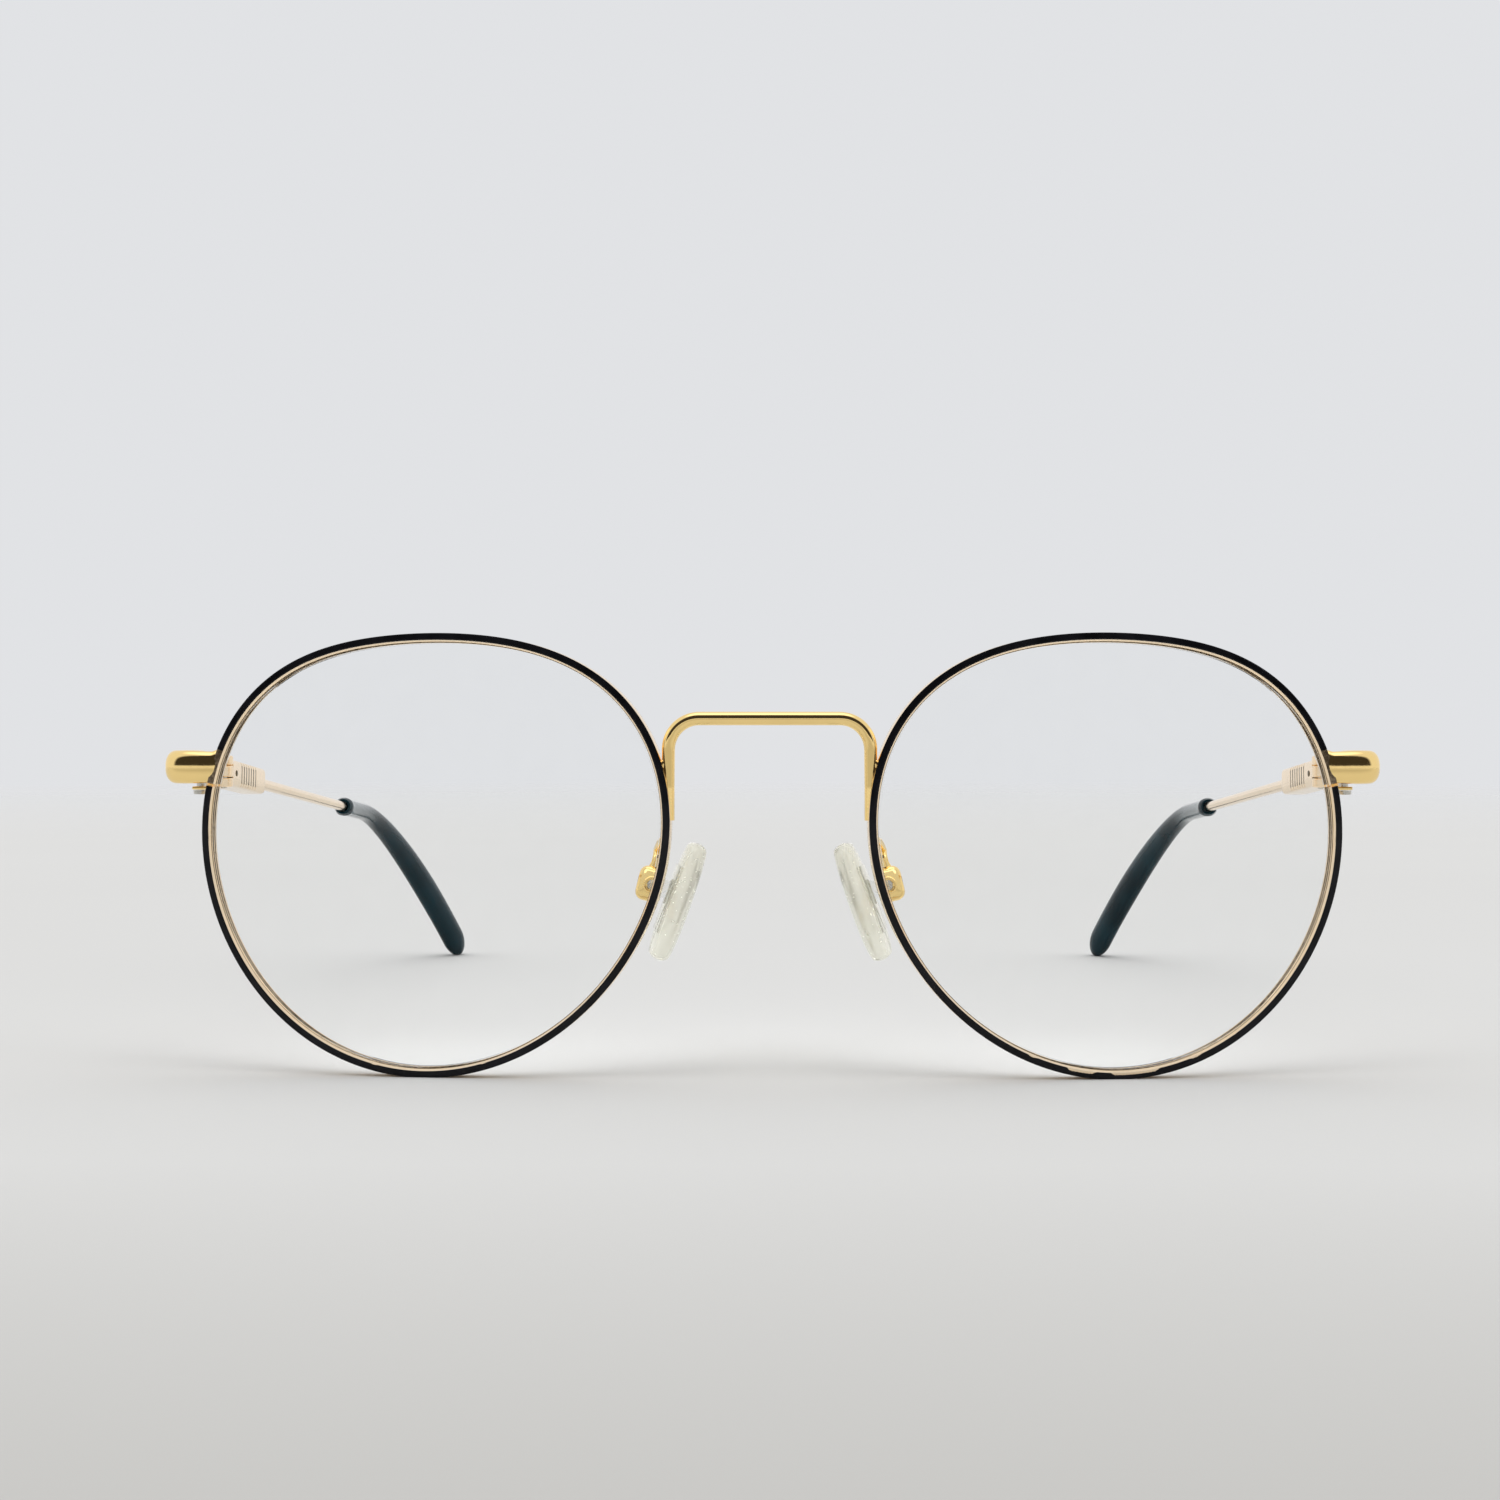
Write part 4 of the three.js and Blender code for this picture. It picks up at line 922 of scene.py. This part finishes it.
class GLASSES_OT_hinges(bpy.types.Operator):
    """Makes the outer knuckles, the hinge screws and the sprung sliders with the middle knuckles"""

    bl_idname = "glasses.hinges"
    bl_label = "Hinges"

    def execute(self, context):
        size = sizes("end_piece")
        half, gap = size.stack / 2, size.middle / 2 + 0.12 * MM
        face = size.to_pin - 0.1 * MM
        hole = size.pin + 0.05 * MM
        edge = 0.12 * MM
        knuckle = size.knuckle
        plate, bevel = 1.1 * MM, 0.15 * MM
        parts = [block((0.2 * MM, -knuckle - plate, -half), (face, -knuckle - 0.02 * MM, half), bevel)]
        for low, high in ((-half, -gap), (gap, half)):
            parts.append(washer(knuckle, hole, low, high, edge))
            parts.append(block((hole + 0.05 * MM, -knuckle, low), (face, 0.8 * MM, high), edge))
        shape = moved(joined(*parts), at(HINGE))
        both_sides("outer_knuckles", shape, "Pale gold plating, painted reflection", "front", ["front_hinge"])
        radius, height, slot, depth = mm(0.95, 0.4, 0.26, 0.2)
        pivot = screw(radius, height, slot, depth, size.pin, -size.stack - 0.25 * MM, 0.05 * MM)
        pivot = moved(pivot, at(HINGE + [0, 0, half + 0.1 * MM]))
        both_sides("pivot_screw", pivot, "Bright steel", "front", ["hinge_screw"])
        slider = self.slider(hole, edge)
        both_sides("inner_knuckle", slider, "Pale gold plating, painted reflection", "slider", ["hinge_slider"])
        return {"FINISHED"}

    def slider(self, hole, edge):
        """The middle knuckle, its neck and shoulder, and the rod that the spring pulls into the box."""
        size, temple = sizes("end_piece"), sizes("temple")
        middle = temple.box_thickness / 2 - temple.box_inside
        front, deep = temple.box_start, temple.box_start + 1.3 * MM
        inner, half, round_off = -0.7 * MM, 0.55 * MM, 0.1 * MM
        neck = block((inner, hole + 0.05 * MM, -half), (0.6 * MM, deep, half), round_off)
        shoulder = block((inner, front + 0.1 * MM, -half), (middle + 0.8 * MM, deep, half), round_off)
        rod_radius, rod_length = 0.4 * MM, 10.06 * MM
        rod = turned([(rod_radius, 0), (rod_radius, rod_length)], 20)
        rod = moved(rod, at((middle, deep - 0.2 * MM, 0)), turn("X", -pi / 2))
        sloped = moved(joined(neck, shoulder, rod), at(HINGE), turn("X", -temple.slope))
        ring = washer(size.knuckle, hole, -size.middle / 2, size.middle / 2, edge)
        return joined(moved(ring, at(HINGE)), sloped)


class GLASSES_OT_temples(bpy.types.Operator):
    """Makes the ribbed spring boxes and the temple wires"""

    bl_idname = "glasses.temples"
    bl_label = "Spring boxes and wires"

    def execute(self, context):
        temple = sizes("temple")
        slope = turn("X", -temple.slope)
        box = moved(self.box(), at(HINGE), slope)
        both_sides("ribbed_box", box, "Pale gold plating, painted reflection", "temple", ["spring_box"])
        swell = [(0.02, -0.1), (0.36, -0.1), (0.36, 0.02), (0.3, 0.07), (0.02, 0.09)]
        rivet = moved(turned(np.array(swell) * MM, 20), turn("Y", -pi / 2))
        rivet_back = 3.2 * MM
        rivet = moved(rivet, at(HINGE), slope, at((-temple.box_inside, rivet_back, 0)))
        both_sides("box_rivet", rivet, "Dark metal and painted groove shade", "temple")
        # Thin dark bars laid in the rib grooves: painted shade that darkens the grooves.
        high = 0.32 * temple.box_height
        half, deep = 0.46 * temple.rib_width, temple.rib_depth
        groove_shade = []
        for number in range(temple.ribs):
            y = temple.rib_start + number * temple.rib_pitch
            low = (-temple.box_inside + 0.06 * deep, y - half, -high)
            groove_shade.append(block(low, (-temple.box_inside + 1.2 * deep, y + half, high), 0.03 * MM))
        if groove_shade:
            groove_shade = moved(joined(*groove_shade), at(HINGE), slope)
            both_sides("rib_painted_shade", groove_shade, "Dark metal and painted groove shade", "temple")
        into_tip = 39 * MM
        path = stretch(0, tip_from() + into_tip, np.linspace(0, 1, 160))
        wire = skin(carried(path, rounded(temple.wire, temple.wire, 1.0, 20), np.array([1, 0.2, 0])))
        both_sides("side_wire", wire, "Pale gold plating, painted reflection", "temple", ["temple_wire"])
        return {"FINISHED"}

    def box(self):
        """Rounded sections along the box. The inner face sinks in at each rib groove, the rear end rounds in
        along a quarter ellipse, and the front opens into the slider's slot and the round spring chamber."""
        temple = sizes("temple")
        front, rear = temple.box_start, temple.box_start + temple.box_length
        middle = temple.box_thickness / 2 - temple.box_inside
        half_x, half_z = temple.box_thickness / 2, temple.box_height / 2
        nose, edge, square = 1.3 * MM, 0.05 * MM, 0.36
        sweep = np.linspace(0, pi / 2, 10)
        rear_y = rear - nose * (1 - np.cos(sweep))
        small = 0.5 + 0.5 * np.sin(sweep)
        run = np.linspace(rear - nose, front + edge, 280)[1:]
        lead = np.linspace(0, pi / 2, 6)[1:]
        front_y = front + edge * (1 - np.sin(lead))
        y = np.concatenate([rear_y, run, front_y])
        wide, tall = (
            np.concatenate([half * small, np.full(len(run), half), half - edge * (1 - np.cos(lead))])
            for half in (half_x, half_z)
        )
        outer = stacked(y, middle, wide, tall, square)
        first = temple.rib_start + np.arange(temple.ribs) * temple.rib_pitch
        off = np.abs(y[:, None] - first[None]).min(axis=1)
        sunk = temple.rib_depth * np.clip((1 - off / (temple.rib_width / 2)) * 3, 0, 1)
        floor = -temple.box_inside + sunk
        outer[..., 0] = np.maximum(outer[..., 0], np.where(sunk > 0, floor, -1)[:, None])
        slot_end, chamber_end = 1.9, 14.4
        aside, slot_x, slot_z, bore = mm(0.35, 1.27, 0.67, 1.0)
        slot_corners, circle = 0.15, 1.0
        pocket = stacked(mm(0, slot_end) + front, middle - aside, slot_x, slot_z, slot_corners)
        chamber = stacked(mm(slot_end, chamber_end) + front, middle, bore, bore, circle)
        return skin(np.concatenate([outer, pocket, chamber]))


class GLASSES_OT_tips(bpy.types.Operator):
    """Makes the acetate tips, bored for the wire and bent down behind the ear"""

    bl_idname = "glasses.tips"
    bl_label = "Tips"

    def execute(self, context):
        temple = sizes("temple")
        total = temple_line()[1]
        start = tip_from()
        span = total - start
        bore_depth = 40 * MM
        bore = stretch(start, start + bore_depth, np.linspace(0, 1, 30))
        shares = 1 - (1 - np.linspace(0, 1, 110)) ** 1.4
        outer = stretch(start, total, shares)
        run = shares * span
        swell = step(run, span * 0.2, span * 0.8)
        round_end = 4 * MM
        last = np.clip((run - span + round_end) / round_end, 0, 1)
        close = np.sqrt(np.maximum(0.01, 1 - last**2)) * (1 - 0.12 * (1 - step(run, 0, 0.5 * MM)))
        side = (temple.tip_mouth + (temple.tip_side - temple.tip_mouth) * swell) * close
        tall = (temple.tip_mouth + (temple.tip_high - temple.tip_mouth) * swell) * close
        collar = 1 + 0.08 * step(run, 0, 0.3 * MM) * (1 - step(run, 1.6 * MM, 2.2 * MM))
        facing = np.array([1, 0.2, 0])
        hole = rounded(temple.wire + 0.1 * MM, temple.wire + 0.1 * MM, 1.0, 32)
        inside = carried(bore, hole, facing)[::-1]
        outside = carried(outer, rounded(side * collar, tall * collar, 0.92, 32), facing)
        rows = np.concatenate([inside, outside])
        rows[..., 2] = np.maximum(rows[..., 2], 0)
        both_sides("tip", skin(rows), "Dark acetate", "temple", ["temple_tip"])
        return {"FINISHED"}


class GLASSES_OT_pad_mounts(bpy.types.Operator):
    """Makes the pad arms, the cups and the pad screws"""

    bl_idname = "glasses.pad_mounts"
    bl_label = "Pad arms and cups"

    def execute(self, context):
        pad = sizes("pad")
        lean = turn("Y", -pad.cup_lean)
        cup = moved(self.cup(), at(PAD_SCREW), lean)
        both_sides("cup", cup, "Gold plating", "front", ["pad_box"])
        both_sides("arm_wire", self.arm(lean), "Gold plating", "front", ["pad_arm"])
        half = pad.cup_depth / 2
        radius, height, slot, depth, shank = mm(0.62, 0.3, 0.2, 0.14, 0.45)
        small = screw(radius, height, slot, depth, shank, -pad.cup_depth + 0.2 * MM, 0.05 * MM, 24)
        small = moved(small, at(PAD_SCREW - [0, half - 0.15 * MM, 0]), turn("X", pi / 2))
        both_sides("cup_screw", small, "Bright steel", "front", ["pad_screw"])
        around = np.linspace(0, 2 * pi, 12, endpoint=False)
        ring_radius, wire_radius = 0.86, 0.17
        profile = [ring_radius - wire_radius * np.cos(around), wire_radius * np.sin(around)]
        profile = np.stack(profile, axis=1) * MM
        ring = moved(turned(profile, 36, True), at(PAD_SCREW - [0, half, 0]), turn("X", pi / 2))
        both_sides("cup_ring", ring, "Gold plating", "front")
        return {"FINISHED"}

    def cup(self):
        """Rounded sections in Y and Z: from the pocket's floor out to its mouth, over the lip and back along
        the outside to the cup's outer side."""
        pad = sizes("pad")
        mouth, outer = -pad.cup_mouth, pad.cup_width - pad.cup_mouth
        half_y, half_z = pad.cup_depth / 2, pad.cup_height / 2
        floor, pocket_y, pocket_z, lip, rounding = mm(1.17, 0.67, 1.65, 0.35, 1.0)
        steps, tight, full = 8, 0.3, 0.55
        sweep = np.linspace(0, pi / 2, steps)
        out, curl = 1 - np.sin(sweep), 1 - np.cos(sweep)
        x = np.concatenate([[floor, mouth + 0.1 * MM], mouth + lip * curl, outer - rounding * out])
        wide, tall = (
            np.concatenate([[pocket] * 2, half - lip * out, half - rounding * curl])
            for pocket, half in ((pocket_y, half_y), (pocket_z, half_z))
        )
        square = np.concatenate([[tight] * 2, np.linspace(tight, full, steps), [full] * steps])
        rows = np.concatenate([rounded(w, t, s, 40) for w, t, s in zip(wide, tall, square)])
        x = np.broadcast_to(x[:, None, None], (*rows.shape[:2], 1))
        return skin(np.concatenate([x, rows], axis=-1))

    def arm(self, lean):
        """A round wire that leaves the back of the rim, rounds its nose side and comes down on the cup."""
        pad, rim = sizes("pad"), sizes("rim")
        flat = np.array([-rim.width / 2, PAD_SCREW[2] + 4 * MM - lens_middle()[2]])
        root = on_lens(flat, rim.depth / 2 + 0.1 * MM) + mm(0.45, 0, 0)
        back = np.array([0, pad.arm, 0])
        top = pad.cup_height / 2 + 0.1 * MM
        above = mm(0.5, 0.5, 1.9), mm(0.4, 0, 1), mm(0.4, 0, -0.3)
        above = [PAD_SCREW + np.array(lean.to_3x3() @ Vector(place + [0, 0, top])) for place in above]
        stops = [root + back + mm(0.1, 0, -1.2), root + back + mm(-0.1, 0, 0), root + mm(-0.2, 1.4, 0.9)]
        path = curve_through([*stops, root + mm(0.5, 3.2, 1.2), *above], 90)
        along = np.linspace(0, 1, len(path))
        radius = pad.arm * np.sqrt(step(along, -0.03, 0.04)) * (1 - 0.15 * step(along, 0.1, 0.3))
        flare = 1 + 0.5 * step(along, 0.93, 1.0)
        return skin(carried(path, rounded(radius * flare, radius, 1.0, 24), np.array([1.0, 0, 0])))


class GLASSES_OT_pads(bpy.types.Operator):
    """Makes the clear nose pads and the hard inserts that the cups hold"""

    bl_idname = "glasses.pads"
    bl_label = "Nose pads"

    def execute(self, context):
        pad = sizes("pad")
        shift = at((-pad.offset, *mm(1.6, -1)))
        place = (at(PAD_SCREW), turn("Y", -pad.lean), shift, turn("Z", -pad.splay))
        cushion = moved(self.cushion(), *place)
        both_sides("pad_cushion", cushion, "Clear silicone", "pad", ["nose_pad"])
        both_sides("pad_insert", self.insert(place), "Clear insert", "pad", ["pad_core"])
        return {"FINISHED"}

    def cushion(self):
        """A drop: sections in X and Y at heights h from -1 to 1, as wide as sqrt(1 - h^2)^0.75 and a little
        wider low down. Towards each end the pad thins by about a third, and then it rounds off."""
        pad = sizes("pad")
        h = np.sin(np.linspace(-1, 1, 49) * pi / 2)
        full = np.sqrt(np.maximum(1 - h**2, 0.0004)) ** 0.75
        half_width = pad.width / 2 * full * (1 - 0.14 * h)
        half_thick = pad.thickness / 2 * (0.62 + 0.38 * full) * np.minimum(1, full * 2.2)
        section = rounded(half_thick, half_width, 0.75, 40)
        heights = np.broadcast_to((h * pad.length / 2)[:, None], section.shape[:2])
        return skin(np.concatenate([section, heights[..., None]], axis=-1))

    def insert(self, place):
        """A thin plate inside the pad and the lug that reaches into the cup."""
        pad = sizes("pad")
        outer = pad.thickness / 2
        half, wide, round_off = 0.55 * MM, 1.9 * MM, 0.2 * MM
        plate = block((outer - 0.7 * MM, -wide, -4 * MM), (outer, wide, 4 * MM), round_off)
        reach = -(pad.offset - outer + 0.1 * MM)
        lean = (at(PAD_SCREW), turn("Y", -pad.lean))
        arm = block((reach + 0.1 * MM, -half, -1.05 * MM), (-0.52 * MM, half, 1.05 * MM), round_off)
        foot = block((reach - 0.05 * MM, -half, -1.6 * MM), (reach + 0.15 * MM, wide, 1.3 * MM), 0.09 * MM)
        eye = moved(washer(1.05 * MM, 0.5 * MM, -half, half, 0.1 * MM), turn("X", pi / 2))
        return joined(moved(plate, *place), moved(joined(arm, foot, eye), *lean))


class GLASSES_OT_inner_parts(bpy.types.Operator):
    """Gives the parts inside the spring boxes their finishes"""

    bl_idname = "glasses.inner_parts"
    bl_label = "Parts inside the spring boxes"

    def execute(self, context):
        finishes = dict.fromkeys(("slider_nut", "spring_bushing", "hinge_spring"), "Bright steel")
        finishes["box_pin"] = "Pale gold plating, painted reflection"
        for stem, finish in finishes.items():
            for side, _ in SIDES:
                mesh = frame["nodes"][f"{stem}_{side}"].data
                mesh.materials.clear()
                mesh.materials.append(bpy.data.materials[finish])
        return {"FINISHED"}


class GLASSES_OT_stage(bpy.types.Operator):
    """Makes the floor, the soft lights and the camera"""

    bl_idname = "glasses.stage"
    bl_label = "Stage"

    def execute(self, context):
        floor_material()
        self.floor()
        self.surroundings()
        self.lamp("overhead", (25, 0), 0.5, 50)
        self.lamp("front_left", (52, -42), 0.28, 34)
        self.lamp("front_right", (52, 42), 0.28, 34)
        self.camera()
        return {"FINISHED"}

    def floor(self):
        """A round flat sheet."""
        corners = 96
        turns = np.linspace(0, 2 * pi, corners, endpoint=False)
        edge = np.stack([np.cos(turns), np.sin(turns), np.zeros(corners)], axis=1) * sizes("stage").floor
        mesh = bpy.data.meshes.new("floor")
        mesh.from_pydata((edge - [0, 0, 0.01 * MM]).tolist(), [], [list(range(corners))])
        mesh.materials.append(bpy.data.materials["Pale paper"])
        added("floor", mesh)

    def surroundings(self):
        """A pale backdrop to the eye. Reflections find a dark room on the -Y side, a bright ceiling and pale
        walls."""
        look = sizes("finish")
        world = bpy.data.worlds.new("Studio")
        world.use_nodes = True
        tree = world.node_tree
        place = node(tree, "ShaderNodeTexCoord").outputs["Generated"]
        direction = node(tree, "ShaderNodeSeparateXYZ", [(place, "Vector")]).outputs
        forward = spread(tree, direction["Y"], -0.35, -0.5)
        above = spread(tree, direction["Z"], 0.02, 0.07)
        dark = worked_out(tree, "MULTIPLY", forward, above)
        ceiling = spread(tree, direction["Z"], 0.85, 0.93)
        bright = mixed(tree, ceiling, (0.86, 0.86, 0.87), (1.6, 1.6, 1.6))
        around = mixed(tree, dark, bright, (0.045, 0.04, 0.035))
        path = node(tree, "ShaderNodeLightPath").outputs
        seen = worked_out(tree, "MAXIMUM", path["Is Camera Ray"], path["Is Transmission Ray"])
        tone = mixed(tree, seen, around, tuple(look.backdrop))
        tree.links.new(tone, tree.nodes["Background"].inputs["Color"])
        bpy.context.scene.world = world

    def lamp(self, name, tilt, power, spread_degrees):
        """A broad, far lamp, tilted from straight down by degrees about X and then Z. Polished pieces do not
        mirror it."""
        lamp = bpy.data.lights.new(name, "SUN")
        lamp.energy = power
        lamp.angle = radians(spread_degrees)
        made = added(name, lamp)
        made.matrix_world = turn("Z", radians(tilt[1])) @ turn("X", radians(tilt[0]))
        made.visible_glossy = False

    def camera(self):
        stage, rim = sizes("stage"), sizes("rim")
        data = bpy.data.cameras.new("camera")
        data.lens = stage.focal
        data.sensor_width = 36
        data.clip_start, data.clip_end = 0.01, 50
        made = added("camera", data)
        sides = lens_middle()[1] + rim.base - (rim.base**2 - rim.width**2 / 4) ** 0.5
        place = at((stage.aside, sides - stage.distance, stage.height))
        made.matrix_world = place @ turn("Z", stage.turn) @ turn("X", pi / 2 - stage.dip)
        bpy.context.scene.camera = made
        bpy.context.scene.view_settings.view_transform = "Standard"


OPERATORS = (
    GLASSES_OT_finishes,
    GLASSES_OT_rims,
    GLASSES_OT_lenses,
    GLASSES_OT_bridge,
    GLASSES_OT_end_pieces,
    GLASSES_OT_hinges,
    GLASSES_OT_temples,
    GLASSES_OT_tips,
    GLASSES_OT_pad_mounts,
    GLASSES_OT_pads,
    GLASSES_OT_inner_parts,
    GLASSES_OT_stage,
)


class GLASSES_PT_panel(bpy.types.Panel):
    """Lists the pieces and their sizes"""

    bl_idname = "GLASSES_PT_panel"
    bl_label = "Eyeglasses"
    bl_space_type = "VIEW_3D"
    bl_region_type = "UI"
    bl_category = "Eyeglasses"

    def draw(self, context):
        for operator in OPERATORS:
            self.layout.operator(operator.bl_idname)
        for name, kind in GROUPS:
            box = self.layout.box()
            box.label(text=name.replace("_", " ").capitalize())
            for key in kind.__annotations__:
                box.prop(getattr(context.scene, "glasses_" + name), key)


def register():
    for name, kind in GROUPS:
        bpy.utils.register_class(kind)
        setattr(bpy.types.Scene, "glasses_" + name, PointerProperty(type=kind))
    for kind in (*OPERATORS, GLASSES_PT_panel):
        bpy.utils.register_class(kind)


def unregister():
    for kind in (GLASSES_PT_panel, *reversed(OPERATORS)):
        bpy.utils.unregister_class(kind)
    for name, kind in reversed(GROUPS):
        delattr(bpy.types.Scene, "glasses_" + name)
        bpy.utils.unregister_class(kind)


def main():
    register()
    for operator in OPERATORS:
        name = operator.bl_idname.split(".")[1]
        if getattr(bpy.ops.glasses, name)() != {"FINISHED"}:
            raise RuntimeError(operator.bl_label + " did not finish")


if __name__ == "__main__":
    main()
